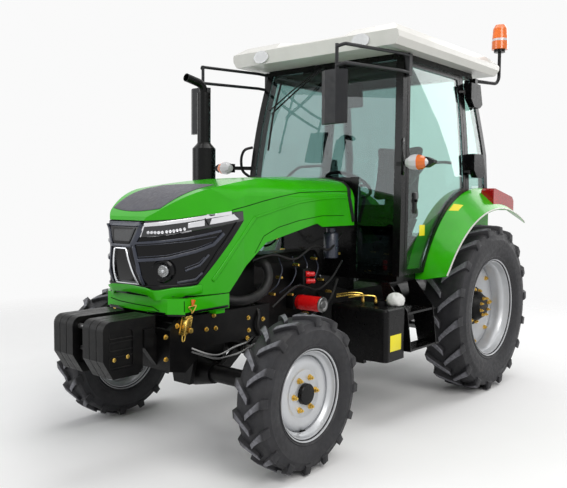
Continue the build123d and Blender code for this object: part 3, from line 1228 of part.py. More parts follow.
# black lamp housings: indicators on stalks at the front, angular work lamps at the rear
INDICATOR_HEIGHT = 1724.0
with BuildPart() as lamp_housings:
    with BuildSketch(section(1150)):
        with BuildLine():
            Polyline((800, INDICATOR_HEIGHT - 34), (940, INDICATOR_HEIGHT - 34), (992, INDICATOR_HEIGHT - 6),
                     (992, INDICATOR_HEIGHT + 10), (940, INDICATOR_HEIGHT + 34), (800, INDICATOR_HEIGHT + 34), close=True)
        make_face()
    extrude(amount=50)
    with BuildSketch(plan(INDICATOR_HEIGHT - 14)):
        with BuildLine():
            Polyline((1030, 650), (1085, 650), (1085, 700), (1175, 790), (1175, 815), (1152, 815), (1040, 715), close=True)
        make_face()
    extrude(amount=28)
    # rear housings against the posts
    for ahead, height, outer in ((-40, 2305, 700), (-25, 1751, 745)):
        with BuildSketch(side(outer)):
            with BuildLine():
                Polyline((ahead - 105, height - 60), (ahead - 60, height + 92), (ahead + 100, height + 92),
                         (ahead + 100, height - 30), (ahead + 40, height - 92), (ahead - 60, height - 92), close=True)
            make_face()
        extrude(amount=120)
    add(cab_envelope(-SEAT_GAP), mode=Mode.SUBTRACT)
    mirror(about=Plane.XZ)
save(lamp_housings, "lamp_housings")

MIRROR_X = 1672.0
MIRROR_Y = 590.0
ARM_RADIUS = 11.0
with BuildPart() as mirrors:
    for height in (2355, 2470):
        with BuildLine() as arm_line:
            FilletPolyline((940 + REAR_AXLE_X, 652, height), (1040 + REAR_AXLE_X, 652, height),
                           (MIRROR_X + REAR_AXLE_X, MIRROR_Y + 40, height - 40), (MIRROR_X + 40 + REAR_AXLE_X, MIRROR_Y, height - 60),
                           radius=30)
        with BuildSketch(Plane(origin=arm_line.line @ 0, z_dir=arm_line.line % 0)):
            Circle(ARM_RADIUS)
        sweep()
    with BuildSketch(plan(1960)):
        with Locations((MIRROR_X + 30, MIRROR_Y)):
            Circle(ARM_RADIUS)
    extrude(amount=470)
    with BuildSketch(side(662)):
        with Locations((932, 2410)):
            Rectangle(40, 150)
    extrude(amount=80)
    add(cab_envelope(-SEAT_GAP), mode=Mode.SUBTRACT)
    # mirror head, facing the driver
    with BuildSketch(plan(1942)):
        with BuildLine():
            Polyline((MIRROR_X + 42, MIRROR_Y - 92), (MIRROR_X + 42, MIRROR_Y + 92), (MIRROR_X + 66, MIRROR_Y + 84),
                     (MIRROR_X + 96, MIRROR_Y + 40), (MIRROR_X + 96, MIRROR_Y - 40), (MIRROR_X + 66, MIRROR_Y - 84), close=True)
        make_face()
    extrude(amount=322)
    for height in (1990, 2190):
        with BuildSketch(plan(height)):
            with Locations((MIRROR_X + 36, MIRROR_Y)):
                Rectangle(40, 30)
        extrude(amount=24)
    mirror(about=Plane.XZ)
save(mirrors, "mirrors")

BEACON_X = -450.0
BEACON_Y = 700.0
BEACON_BASE = 2731.0
BEACON_TOP = 2931.0
BEACON_RADIUS = 64.5
with BuildPart() as beacon:
    with BuildSketch(side(BEACON_Y)):
        with BuildLine():
            Polyline((BEACON_X, BEACON_BASE), (BEACON_X + BEACON_RADIUS, BEACON_BASE),
                     (BEACON_X + BEACON_RADIUS, BEACON_BASE + 60), (BEACON_X + BEACON_RADIUS - 8, BEACON_TOP - 30),
                     (BEACON_X + BEACON_RADIUS - 26, BEACON_TOP), (BEACON_X, BEACON_TOP), close=True)
        make_face()
    revolve(axis=Axis((BEACON_X + REAR_AXLE_X, BEACON_Y, 0), (0, 0, 1)))
save(beacon, "beacon")

with BuildPart() as beacon_stalk:
    with BuildLine() as stalk_line:
        FilletPolyline((BEACON_X + REAR_AXLE_X, BEACON_Y, BEACON_BASE - SEAT_GAP), (BEACON_X + REAR_AXLE_X, BEACON_Y, 2450),
                       (-112 + REAR_AXLE_X, 645, 2434), radius=70)
    with BuildSketch(Plane(origin=stalk_line.line @ 0, z_dir=stalk_line.line % 0)):
        Circle(14)
    sweep()
    with BuildSketch(Plane(origin=(BEACON_X + REAR_AXLE_X, BEACON_Y, BEACON_BASE - SEAT_GAP))):
        Circle(46)
    extrude(amount=-22)
    with BuildSketch(side(662)):
        with Locations((-108, 2430)):
            Rectangle(44, 42)
    extrude(amount=60)
    add(cab_envelope(-SEAT_GAP), mode=Mode.SUBTRACT)
save(beacon_stalk, "beacon_stalk")

# ---------------------------------------------------------------- hitch, drawbar, power take-off
CASE_REAR = -330.0
LINK_PIVOT = (-100.0, 405.0)
LINK_PIVOT_Y = 252.0
LINK_END = (-905.0, 440.0)
LINK_END_Y = 360.0
LINK_BALL_RADIUS = 45.0
LINK_BORE_RADIUS = 14.35
LINK_THICKNESS = 24.0
LINK_PIN_RADIUS = 14.0
ROCKSHAFT = (-300.0, 930.0)
ROCKSHAFT_RADIUS = 30.0
LIFT_ARM_LENGTH = 300.0
LIFT_ARM_Y = 178.0
LIFT_PIN_RADIUS = 12.0
ROD_FOOT = 500.0            # along the lower link from its pivot to the lift rod's foot

with BuildPart() as hitch_frame:
    # rockshaft housing on the gearbox, and the lower links' pins under it
    with BuildSketch(side()):
        with BuildLine():
            Polyline((-180, 860 + SEAT_GAP), (-180, 940), (-240, 1000), (-330, 1000), (-350, 960), (-350, 860 + SEAT_GAP),
                     close=True)
        make_face()
        with Locations(ROCKSHAFT):
            Circle(ROCKSHAFT_RADIUS + RUNNING_FIT, mode=Mode.SUBTRACT)
    extrude(amount=150, both=True)
save(hitch_frame, "hitch_frame")

DRAWBAR_TOP = 400.0
DRAWBAR_THICKNESS = 30.0
DRAWBAR_HOLE_X = -795.0
DRAWBAR_HOLE_RADIUS = 16.5
with BuildPart() as drawbar:
    with BuildSketch(side()):
        with BuildLine():
            Polyline((-840, DRAWBAR_TOP - DRAWBAR_THICKNESS), (-840, DRAWBAR_TOP), (CASE_REAR, DRAWBAR_TOP),
                     (CASE_REAR, 470 - SEAT_GAP), (CASE_REAR + 90, 463.8 - SEAT_GAP), (CASE_REAR + 90, DRAWBAR_TOP),
                     (-40, DRAWBAR_TOP), (-40, DRAWBAR_TOP - DRAWBAR_THICKNESS), close=True)
        make_face()
    extrude(amount=40, both=True)
    with BuildSketch(plan(DRAWBAR_TOP - DRAWBAR_THICKNESS - 5)):
        with Locations((DRAWBAR_HOLE_X, 0)):
            Circle(DRAWBAR_HOLE_RADIUS)
    extrude(amount=DRAWBAR_THICKNESS + 10, mode=Mode.SUBTRACT)
    # cross bar with the pins that the lower links hinge on
    with BuildSketch(side()):
        with Locations(LINK_PIVOT):
            Circle(LINK_PIN_RADIUS)
    extrude(amount=LINK_PIVOT_Y + LINK_THICKNESS / 2 + 14, both=True)
    with BuildSketch(side()):
        with BuildLine():
            Polyline((LINK_PIVOT[0] - 30, LINK_PIVOT[1] - 32), (LINK_PIVOT[0] + 30, LINK_PIVOT[1] - 32),
                     (LINK_PIVOT[0] + 26, 440 - SEAT_GAP), (LINK_PIVOT[0] - 26, 440 - SEAT_GAP), close=True)
        make_face()
    extrude(amount=60, both=True)
    with BuildSketch(side()):
        with Locations(LINK_PIVOT):
            Circle(LINK_PIN_RADIUS + 14)
    extrude(amount=LINK_PIVOT_Y - LINK_THICKNESS / 2 - 6, both=True)
save(drawbar, "drawbar")

PTO_AXIS_Z = 600.0
PTO_RADIUS = 17.4
PTO_LENGTH = 86.0
with BuildPart() as power_takeoff:
    with BuildSketch(section(CASE_REAR - SEAT_GAP)):
        with Locations((0, PTO_AXIS_Z)):
            Circle(52)
    extrude(amount=-20)
    with BuildSketch(section(CASE_REAR - SEAT_GAP)):
        with Locations((0, PTO_AXIS_Z)):
            Circle(PTO_RADIUS)
    extrude(amount=-20 - PTO_LENGTH)
    # guard over the shaft
    with BuildSketch(section(CASE_REAR - SEAT_GAP)):
        with BuildLine():
            Polyline((-110, 560), (-110, 700), (110, 700), (110, 560), (103, 560), (103, 693), (-103, 693), (-103, 560), close=True)
        make_face()
    extrude(amount=-120)
save(power_takeoff, "power_takeoff")

TOP_PIN = (-385.0, 905.0)
TOP_PIN_RADIUS = 9.5
TOP_LINK_END = (-735.0, 1100.0)
TOP_BORE_RADIUS = 12.85
TOP_BALL_WIDTH = 51.0
TOP_LINK_RADIUS = 17.0
HOOK_RADIUS = 6.0
HOOK_AT = 0.55              # share of the top link ahead of its hook
with BuildPart() as upper_link:
    with BuildSketch(side()):
        with Locations(TOP_PIN):
            Circle(24)
    extrude(amount=27, both=True)
    with BuildLine() as centre_line:
        Line((TOP_PIN[0] + REAR_AXLE_X, 0, TOP_PIN[1]), (TOP_LINK_END[0] + REAR_AXLE_X, 0, TOP_LINK_END[1]))
    with BuildSketch(Plane(origin=centre_line.line @ 0, z_dir=centre_line.line % 0)):
        Circle(TOP_LINK_RADIUS)
    sweep()
    with BuildSketch(side()):
        with Locations(TOP_LINK_END):
            Circle(32)
    extrude(amount=TOP_BALL_WIDTH / 2, both=True)
    with BuildSketch(side()):
        with Locations(TOP_LINK_END):
            Circle(TOP_BORE_RADIUS)
        with Locations(TOP_PIN):
            Circle(TOP_PIN_RADIUS + RUNNING_FIT)
    extrude(amount=60, both=True, mode=Mode.SUBTRACT)

hook_x = TOP_PIN[0] + HOOK_AT * (TOP_LINK_END[0] - TOP_PIN[0])
hook_z = TOP_PIN[1] + HOOK_AT * (TOP_LINK_END[1] - TOP_PIN[1])
link_lean = atan2(TOP_LINK_END[1] - TOP_PIN[1], TOP_PIN[0] - TOP_LINK_END[0])
under_link = (TOP_LINK_RADIUS + SEAT_GAP + HOOK_RADIUS) / cos(link_lean)
beside_link = TOP_LINK_RADIUS + HOOK_RADIUS + 5
HOOK_ROUTE = [(CAB_REAR + 1, 0, DECK_TOP - 17), (CAB_REAR - 60, 0, DECK_TOP - 17), (hook_x + 20, beside_link, hook_z + 60),
              (hook_x, beside_link, hook_z - under_link), (hook_x, -beside_link, hook_z - under_link)]
with BuildPart() as top_link:
    for hand in (-1, 1):
        with BuildSketch(side(hand * 34)):
            with BuildLine():
                Polyline((-350 - SEAT_GAP, TOP_PIN[1] - 32), (-350 - SEAT_GAP, TOP_PIN[1] + 32),
                         (TOP_PIN[0], TOP_PIN[1] + 22), (TOP_PIN[0], TOP_PIN[1] - 22), close=True)
            make_face()
            with Locations(TOP_PIN):
                Circle(22)
        extrude(amount=6, both=True)
    with BuildSketch(side()):
        with Locations(TOP_PIN):
            Circle(TOP_PIN_RADIUS)
    extrude(amount=46, both=True)
    add(upper_link.part)
    # hook under the stored link, hung from the cab floor's rear edge
    with BuildSketch(section(CAB_REAR + 5 - SEAT_GAP)):
        with Locations((0, DECK_TOP - 17)):
            Rectangle(70, 30)
    extrude(amount=-6)
    with BuildLine() as hook_line:
        FilletPolyline(*[(x + REAR_AXLE_X, y, z) for x, y, z in HOOK_ROUTE], radius=14)
    with BuildSketch(Plane(origin=hook_line.line @ 0, z_dir=hook_line.line % 0)):
        Circle(HOOK_RADIUS)
    sweep()
save(top_link, "top_link")

foot_share = ROD_FOOT / hypot(LINK_END[0] - LINK_PIVOT[0], LINK_END[1] - LINK_PIVOT[1])
ROD_FOOT_AT = (LINK_PIVOT[0] + foot_share * (LINK_END[0] - LINK_PIVOT[0]),
               LINK_PIVOT[1] + foot_share * (LINK_END[1] - LINK_PIVOT[1]))
FOOT_Y = LINK_PIVOT_Y + foot_share * (LINK_END_Y - LINK_PIVOT_Y) - LINK_THICKNESS / 2 - MOVING_GAP - 11
LIFT_TIP = (ROCKSHAFT[0] - LIFT_ARM_LENGTH, ROCKSHAFT[1])
ARM_HALF = 12.0
ROD_EYE = 18.0
for side_name, hand in (("left", 1), ("right", -1)):
    with BuildPart() as lower_link:
        with BuildSketch(side()):
            with Locations(LINK_PIVOT):
                Circle(30)
            with Locations(LINK_END):
                Circle(33)
            make_hull()
        extrude(amount=600, both=True)
        with BuildSketch(plan()):
            with BuildLine():
                half = LINK_THICKNESS / 2
                Polyline((LINK_PIVOT[0] + 60, hand * (LINK_PIVOT_Y - half)), (LINK_PIVOT[0] + 60, hand * (LINK_PIVOT_Y + half)),
                         (LINK_PIVOT[0] - 40, hand * (LINK_PIVOT_Y + half)), (LINK_END[0] + 70, hand * (LINK_END_Y + half)),
                         (LINK_END[0] - 30, hand * (LINK_END_Y + half)), (LINK_END[0] - 30, hand * (LINK_END_Y - half)),
                         (LINK_END[0] + 70, hand * (LINK_END_Y - half)), (LINK_PIVOT[0] - 40, hand * (LINK_PIVOT_Y - half)),
                         close=True)
            make_face()
        extrude(amount=1200, mode=Mode.INTERSECT)
        with BuildSketch(side(hand * LINK_END_Y)):
            with Locations(LINK_END):
                Circle(LINK_BALL_RADIUS)
        extrude(amount=22.5, both=True)
        with BuildSketch(side(hand * LINK_END_Y)):
            with Locations(LINK_END):
                Circle(LINK_BORE_RADIUS)
            with Locations(LINK_PIVOT):
                Circle(LINK_PIN_RADIUS + RUNNING_FIT)
        extrude(amount=200, both=True, mode=Mode.SUBTRACT)
    save(lower_link, f"lower_link_{side_name}")

with BuildPart() as lift_arms:
    with BuildSketch(side()):
        with Locations(ROCKSHAFT):
            Circle(ROCKSHAFT_RADIUS)
    extrude(amount=LIFT_ARM_Y, both=True)
    for hand in (-1, 1):
        with BuildSketch(side(hand * LIFT_ARM_Y)):
            with Locations(ROCKSHAFT):
                Circle(44)
            with Locations(LIFT_TIP):
                Circle(24)
            make_hull()
        extrude(amount=ARM_HALF, both=True)
        with BuildSketch(side(hand * LIFT_ARM_Y)):
            with Locations(LIFT_TIP):
                Circle(LIFT_PIN_RADIUS)
        extrude(amount=-hand * (ARM_HALF + ROD_EYE + 8))
save(lift_arms, "lift_arms")

with BuildPart() as lift_rods:
    for hand in (-1, 1):
        eye_y = LIFT_ARM_Y + ARM_HALF + SEAT_GAP + ROD_EYE / 2
        with BuildSketch(side(hand * eye_y)):
            with Locations(LIFT_TIP):
                Circle(25)
        extrude(amount=ROD_EYE / 2, both=True)
        with BuildSketch(side(hand * FOOT_Y)):
            with Locations(ROD_FOOT_AT):
                Circle(25)
        extrude(amount=ROD_EYE / 2, both=True)
        with BuildLine() as rod_line:
            Line((LIFT_TIP[0] + REAR_AXLE_X, hand * (eye_y + 5), LIFT_TIP[1] - 22),
                 (ROD_FOOT_AT[0] + REAR_AXLE_X, hand * FOOT_Y, ROD_FOOT_AT[1] + 10))
        with BuildSketch(Plane(origin=rod_line.line @ 0, z_dir=rod_line.line % 0)):
            Circle(11)
        sweep()
        with BuildSketch(side(hand * eye_y)):
            with Locations(LIFT_TIP):
                Circle(LIFT_PIN_RADIUS + RUNNING_FIT)
        extrude(amount=40, both=True, mode=Mode.SUBTRACT)
save(lift_rods, "lift_rods")
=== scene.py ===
"""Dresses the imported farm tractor: finishes for its CAD nodes, and the fine pieces built round them.

Everything is in metres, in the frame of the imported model: +X forward, +Y to the driver's left, +Z up.
Places in the tables are (ahead of the rear axle, to the side, above the ground).
"""
import json
import logging
import math
from dataclasses import dataclass, field, replace
from enum import Enum

import bmesh
import bpy
from mathutils import Matrix, Vector
from mathutils.bvhtree import BVHTree

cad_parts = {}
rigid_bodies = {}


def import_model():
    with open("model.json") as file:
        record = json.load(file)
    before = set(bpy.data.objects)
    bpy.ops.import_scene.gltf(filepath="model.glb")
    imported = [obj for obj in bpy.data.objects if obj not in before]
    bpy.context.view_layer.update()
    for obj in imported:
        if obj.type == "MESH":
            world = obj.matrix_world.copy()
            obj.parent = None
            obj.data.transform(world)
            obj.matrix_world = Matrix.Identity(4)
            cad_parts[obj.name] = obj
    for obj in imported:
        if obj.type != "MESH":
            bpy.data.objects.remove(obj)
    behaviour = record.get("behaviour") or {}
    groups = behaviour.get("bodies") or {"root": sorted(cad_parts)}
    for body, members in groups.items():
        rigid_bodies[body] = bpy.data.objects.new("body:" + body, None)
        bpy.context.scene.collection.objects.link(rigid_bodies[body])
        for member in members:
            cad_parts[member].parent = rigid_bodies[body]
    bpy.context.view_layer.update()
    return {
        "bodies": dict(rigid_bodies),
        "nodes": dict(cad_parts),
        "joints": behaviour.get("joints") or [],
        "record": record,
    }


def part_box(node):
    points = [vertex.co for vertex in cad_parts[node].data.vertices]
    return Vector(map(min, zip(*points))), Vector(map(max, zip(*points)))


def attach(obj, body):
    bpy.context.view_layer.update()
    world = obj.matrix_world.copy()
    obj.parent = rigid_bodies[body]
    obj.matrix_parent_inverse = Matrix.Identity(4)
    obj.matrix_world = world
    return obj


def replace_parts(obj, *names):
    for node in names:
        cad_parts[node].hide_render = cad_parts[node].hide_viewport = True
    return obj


log = logging.getLogger("tractor")
Point = tuple[float, float, float]
Colour = tuple[float, float, float, float]
Profile = list[tuple[float, float]]
Mesh = bmesh.types.BMesh
Socket = bpy.types.NodeSocket

REAR_AXLE_X = -1.1025       # the rear axle in the shared frame
SIDES = (("left", 1), ("right", -1))
UP = Vector((0, 0, 1))
WELD = 0.00002              # points closer than this become one
SKIN_REACH = 0.10           # how far off its skin the line of a strip may be drawn
CORNER_SHARE = 0.45         # the most of a stretch of pipe that a bend takes up
SHARP_FOLD = 0.9            # angle in radians past which the edge of a sheet is its rim


def ahead(x: float, y: float, z: float, hand: int = 1) -> Vector:
    """A point from its distance ahead of the rear axle, to the left (-1: right), and up."""
    return Vector((REAR_AXLE_X + x, y * hand, z))


def line(points: tuple[Point, ...], hand: int = 1) -> list[Vector]:
    """The points of a table, on the side that the hand says."""
    return [ahead(*point, hand) for point in points]


def around(count: int, first: float) -> list[Vector]:
    """Directions spread evenly round a wheel's axle, from a first angle in degrees."""
    turns = (math.radians(first + 360 / count * index) for index in range(count))
    return [Vector((math.sin(turn), 0, math.cos(turn))) for turn in turns]


def paint(red: int, green: int, blue: int) -> Colour:
    """Linear colour of a paint given by its 0-255 screen values."""
    shares = (value / 255 for value in (red, green, blue))
    return tuple(s / 12.92 if s <= 0.04045 else ((s + 0.055) / 1.055) ** 2.4 for s in shares) + (1.0,)


# ---------------------------------------------------------------- finishes
class Pattern(Enum):
    """What the relief of a finish follows."""

    SPRAYED = "sprayed paint with a slight ripple"
    CASTING = "sand-cast skin under paint"
    GRAIN = "moulded grain"
    BRUSHED = "fine drawn lines"
    RUBBER = "moulded rubber"
    WEAVE = "woven cloth"
    CLEAR = "clear pane or lens"


class Bench:
    """Adds shader nodes to one material and links them."""

    def __init__(self, name: str) -> None:
        """Start a material with its output and shader."""
        self.material = bpy.data.materials.new(name)
        self.material.use_nodes = True
        self.tree = self.material.node_tree
        self.shader = self.tree.nodes["Principled BSDF"]
        self.place = self.tree.nodes.new("ShaderNodeTexCoord").outputs["Object"]

    def add(self, kind: str, *sources: Socket, **settings: object) -> bpy.types.Node:
        """Add a node, feed it and set it.

        Args:
            kind: the node's type, without its ShaderNode prefix.
            sources: what its first inputs are linked to.
            settings: inputs by name with underscores for spaces, or properties.

        Returns:
            The new node.
        """
        node = self.tree.nodes.new("ShaderNode" + kind)
        for key, value in settings.items():
            socket = node.inputs.get(key.replace("_", " "))
            if socket is None:
                setattr(node, key, value)
            else:
                socket.default_value = value
        for source, target in zip(sources, node.inputs):
            self.link(source, target)
        return node

    def link(self, source: Socket, target: Socket) -> None:
        """Join two sockets."""
        self.tree.links.new(source, target)

    def noise(self, scale: float, detail: float = 3.0, stretch: Point = (1, 1, 1)) -> Socket:
        """A noise on Object coordinates.

        Args:
            scale: features per metre.
            detail: octaves.
            stretch: scale along each axis.

        Returns:
            The noise's factor.
        """
        mapping = self.add("Mapping", self.place, Scale=stretch)
        return self.add("TexNoise", mapping.outputs["Vector"], Scale=scale, Detail=detail).outputs[0]

    def spread(self, source: Socket, low: float, high: float, start: float = 0.3, end: float = 0.7) -> Socket:
        """Map a factor from one range to another.

        Args:
            source: the factor.
            low: value at the start of the range.
            high: value at its end.
            start: where the range starts.
            end: where it ends.

        Returns:
            The mapped factor.
        """
        return self.add("MapRange", source, From_Min=start, From_Max=end, To_Min=low, To_Max=high).outputs["Result"]

    def reckon(self, operation: str, first: Socket, second: Socket) -> Socket:
        """Two factors joined by an operation, held between 0 and 1."""
        return self.add("Math", first, second, operation=operation, use_clamp=True).outputs[0]

    def reach(self, source: Socket) -> Socket:
        """The length of a vector."""
        return self.add("VectorMath", source, operation="LENGTH").outputs["Value"]

    def mix(self, factor: Socket, first: Socket | Colour, second: Socket | Colour) -> Socket:
        """Blend two colours, or what carries them, by a factor."""
        node = self.add("Mix", factor, data_type="RGBA")
        for index, colour in ((6, first), (7, second)):
            if isinstance(colour, Socket):
                self.link(colour, node.inputs[index])
            else:
                node.inputs[index].default_value = colour
        return node.outputs[2]

    def relief(self, height: Socket, depth: float, strength: float = 1.0) -> None:
        """Raise the surface by a share of a height, in metres."""
        bump = self.add("Bump", Strength=strength, Distance=depth)
        self.link(height, bump.inputs["Height"])
        self.link(bump.outputs["Normal"], self.shader.inputs["Normal"])


@dataclass(frozen=True)
class Finish:
    """One finish of the tractor: its colour, gloss, and how it varies and wears."""

    name: str
    colour: Colour
    pattern: Pattern
    slot: str
    roughness: float = 0.4
    metallic: float = 0.0
    coat: float = 0.0
    shade: float = 0.12             # how far the colour wanders
    dust: float = 0.0               # how much road dust lies on upward faces
    dust_colour: Colour = (0.32, 0.29, 0.24, 1.0)
    grain: float = 900.0            # features per metre of the relief
    depth: float = 0.0002           # height of the relief in metres
    clear: float = 0.0              # how far light passes through
    specular: float = 0.5           # strength of its plain reflection
    axle: tuple[float, float] = (0.0, 0.0)      # x and z of the axle that wear is measured from
    worn: tuple[float, float] = (0.0, 0.0)      # radii between which wear sets in

    def build(self) -> bpy.types.Material:
        """Make the material."""
        bench = Bench(self.name)
        shader = bench.shader.inputs
        for key, value in (("Metallic", self.metallic), ("Coat Weight", self.coat), ("Coat Roughness", 0.06),
                           ("Specular IOR Level", self.specular)):
            shader[key].default_value = value
        if self.clear > 0:
            shader["Transmission Weight"].default_value = self.clear
            shader["IOR"].default_value = 1.46
        darker = tuple(c * (1 - self.shade) for c in self.colour[:3]) + (1.0,)
        lighter = tuple(min(1.0, c * (1 + self.shade)) for c in self.colour[:3]) + (1.0,)
        colour = bench.mix(bench.spread(bench.noise(7.0, 4.0), 0.0, 1.0), darker, lighter)
        gloss = bench.spread(bench.noise(38.0, 5.0), self.roughness * 0.82, min(1.0, self.roughness * 1.22))
        if self.dust > 0:
            colour, gloss = self.dusted(bench, colour, gloss)
        if self.worn[1] > 0:
            colour = self.scuffed(bench, colour)
        bench.link(colour, shader["Base Color"])
        bench.link(gloss, shader["Roughness"])
        self.raise_grain(bench)
        return bench.material

    def dusted(self, bench: Bench, colour: Socket, gloss: Socket) -> tuple[Socket, Socket]:
        """Lay dust on the faces that look up, in patches.

        Args:
            bench: the material's bench.
            colour: the clean colour.
            gloss: the clean roughness.

        Returns:
            The dusted colour and roughness.
        """
        facing = bench.add("SeparateXYZ", bench.add("NewGeometry").outputs["Normal"])
        upward = bench.spread(facing.outputs["Z"], 0.25, 1.0, -0.2, 1.0)
        patches = bench.spread(bench.noise(16.0, 8.0), 0.0, self.dust, 0.42, 0.68)
        cover = bench.reckon("MULTIPLY", upward, patches)
        matt = bench.reckon("ADD", gloss, bench.spread(cover, 0.0, 0.35, 0.0, 1.0))
        return bench.mix(cover, colour, self.dust_colour), matt

    def scuffed(self, bench: Bench, colour: Socket) -> Socket:
        """Pale the rubber towards the tips of the lugs, in scuffs."""
        centred = bench.add("Mapping", bench.place, Location=(-self.axle[0], 0.0, -self.axle[1]),
                            Scale=(1.0, 0.0, 1.0))
        tips = bench.spread(bench.reach(centred.outputs["Vector"]), 0.0, 1.0, *self.worn)
        scuffs = bench.spread(bench.noise(55.0, 6.0), 0.55, 1.0, 0.35, 0.6)
        return bench.mix(bench.reckon("MULTIPLY", tips, scuffs), colour, paint(118, 118, 124))

    def raise_grain(self, bench: Bench) -> None:
        """Give the surface the relief of its pattern."""
        if self.pattern is Pattern.CLEAR:
            bench.relief(bench.noise(3.0, 1.0), 0.0004, 0.5)
        elif self.pattern is Pattern.BRUSHED:
            bench.relief(bench.noise(self.grain, 2.0, (0.05, 1, 1)), self.depth)
        elif self.pattern is Pattern.WEAVE:
            threads = [bench.add("TexWave", bench.place, Scale=self.grain, bands_direction=axis,
                                 Distortion=0.6).outputs["Fac"] for axis in ("X", "Y")]
            bench.relief(bench.reckon("MAXIMUM", *threads), self.depth)
        elif self.pattern is Pattern.CASTING:
            bench.relief(bench.add("TexVoronoi", bench.place, Scale=self.grain).outputs["Distance"], self.depth)
        else:
            bench.relief(bench.noise(self.grain, 6.0 if self.pattern is Pattern.RUBBER else 2.0), self.depth)


TYRE = Finish("tyre_black", paint(38, 38, 41), Pattern.RUBBER, "tyre", 0.55, shade=0.22, dust=0.12,
              dust_colour=(0.12, 0.11, 0.105, 1.0), grain=420, depth=0.0006, specular=0.3)
FINISHES = (
    TYRE,
    replace(TYRE, name="front_tyre_black", dust=0.14, axle=(1.1975, 0.432), worn=(0.4235, 0.4290)),
    replace(TYRE, name="rear_tyre_black", dust=0.14, axle=(-1.1025, 0.645), worn=(0.6330, 0.6400)),
    Finish("bonnet_green", (0.030, 0.400, 0.002, 1.0), Pattern.SPRAYED, "green_paint", 0.22, coat=0.20, shade=0.06,
           dust=0.02, grain=180, depth=0.00008, specular=0.15),
    Finish("roof_white", paint(214, 213, 208), Pattern.SPRAYED, "white_paint", 0.36, coat=0.15, shade=0.03,
           dust=0.10, grain=240, depth=0.00015, specular=0.3),
    Finish("frame_black", paint(8, 8, 9), Pattern.SPRAYED, "black_paint", 0.24, coat=0.08, shade=0.2, dust=0.015,
           grain=320, depth=0.0001, specular=0.14),
    Finish("rim_silver", paint(190, 192, 195), Pattern.SPRAYED, "silver_paint", 0.36, metallic=0.5, shade=0.05,
           dust=0.10, grain=300, depth=0.00012),
    Finish("casting_black", paint(9, 9, 10), Pattern.CASTING, "cast_black", 0.36, shade=0.25, dust=0.03, grain=260,
           depth=0.0006, specular=0.16),
    Finish("bare_steel", paint(150, 150, 150), Pattern.BRUSHED, "steel", 0.34, metallic=0.95, shade=0.14, dust=0.08,
           depth=0.00015),
    Finish("zinc_yellow", paint(218, 182, 92), Pattern.BRUSHED, "steel", 0.28, metallic=0.9, shade=0.16, grain=700,
           depth=0.0001),
    Finish("seal_black", paint(20, 20, 21), Pattern.RUBBER, "rubber", 0.5, shade=0.2, dust=0.06, grain=600,
           depth=0.0003, specular=0.3),
    # black of real gaps, and of painted shade along the bonnet's lower crease
    Finish("gap_and_crease_shade_black", paint(6, 10, 6), Pattern.RUBBER, "black_plastic", 0.8, shade=0.2, grain=600, depth=0.0001,
           specular=0.05),
    Finish("gloss_black", paint(6, 6, 8), Pattern.SPRAYED, "black_plastic", 0.14, coat=0.1, shade=0.2, grain=300,
           depth=0.00006, specular=0.18),
    Finish("plastic_black", paint(8, 8, 9), Pattern.GRAIN, "black_plastic", 0.30, shade=0.16, dust=0.015,
           grain=1300, specular=0.15),
    # slate: on the grille's bars and fine lines it is a painted highlight on black plastic
    Finish("slate_and_painted_highlight", paint(52, 56, 68), Pattern.GRAIN, "black_plastic", 0.28, coat=0.2, depth=0.0001,
           specular=0.35),
    Finish("plastic_grey", paint(28, 29, 32), Pattern.GRAIN, "grey_plastic", 0.42, shade=0.14, dust=0.04,
           grain=1200, specular=0.25),
    Finish("scoop_grey", paint(72, 72, 80), Pattern.GRAIN, "black_plastic", 0.5, shade=0.10, dust=0.05, grain=1500,
           depth=0.0003, specular=0.4),
    # dark lining; the fender liner's part behind the cab is painted shade
    Finish("liner_and_shade_black", paint(12, 15, 15), Pattern.GRAIN, "black_plastic", 0.7, shade=0.15, depth=0.0003,
           specular=0.15),
    Finish("pane_green", (0.60, 0.80, 0.75, 1.0), Pattern.CLEAR, "glass", 0.01, shade=0.01, clear=1.0),
    Finish("pane_deep", (0.22, 0.31, 0.31, 1.0), Pattern.CLEAR, "glass", 0.01, shade=0.02, clear=1.0),
    Finish("lens_smoke", paint(26, 27, 31), Pattern.CLEAR, "clear_lamp", 0.06, coat=0.5, shade=0.1),
    Finish("lens_clear", (0.93, 0.95, 0.96, 1.0), Pattern.CLEAR, "clear_lamp", 0.04, shade=0.01, clear=0.85),
    Finish("lens_milk", paint(226, 226, 228), Pattern.CLEAR, "clear_lamp", 0.08, coat=0.5, shade=0.06, clear=0.25),
    Finish("lens_red", paint(190, 18, 20), Pattern.CLEAR, "red_lamp", 0.12, coat=0.6, shade=0.1, clear=0.35),
    Finish("lens_amber", paint(246, 118, 14), Pattern.CLEAR, "amber_lamp", 0.12, coat=0.5, shade=0.08, clear=0.2),
    Finish("filter_red", paint(208, 14, 18), Pattern.SPRAYED, "red_lamp", 0.3, coat=0.3, shade=0.1, grain=300,
           depth=0.0001, specular=0.3),
    Finish("lamp_chrome", paint(225, 227, 230), Pattern.BRUSHED, "steel", 0.12, metallic=1.0, shade=0.04, grain=300,
           depth=0.00005),
    Finish("lamp_silver", paint(222, 222, 226), Pattern.BRUSHED, "steel", 0.2, metallic=0.6, shade=0.08, grain=300,
           depth=0.0001),
    Finish("seat_cloth", paint(18, 20, 23), Pattern.WEAVE, "seat_fabric", 0.85, shade=0.25, grain=60, depth=0.0008,
           specular=0.2),
    Finish("label_yellow", paint(236, 222, 30), Pattern.GRAIN, "grey_plastic", 0.42, shade=0.05, grain=400,
           depth=0.00005),
    Finish("cover_white", paint(220, 221, 218), Pattern.GRAIN, "white_paint", 0.5, shade=0.06, grain=120,
           depth=0.002),
)
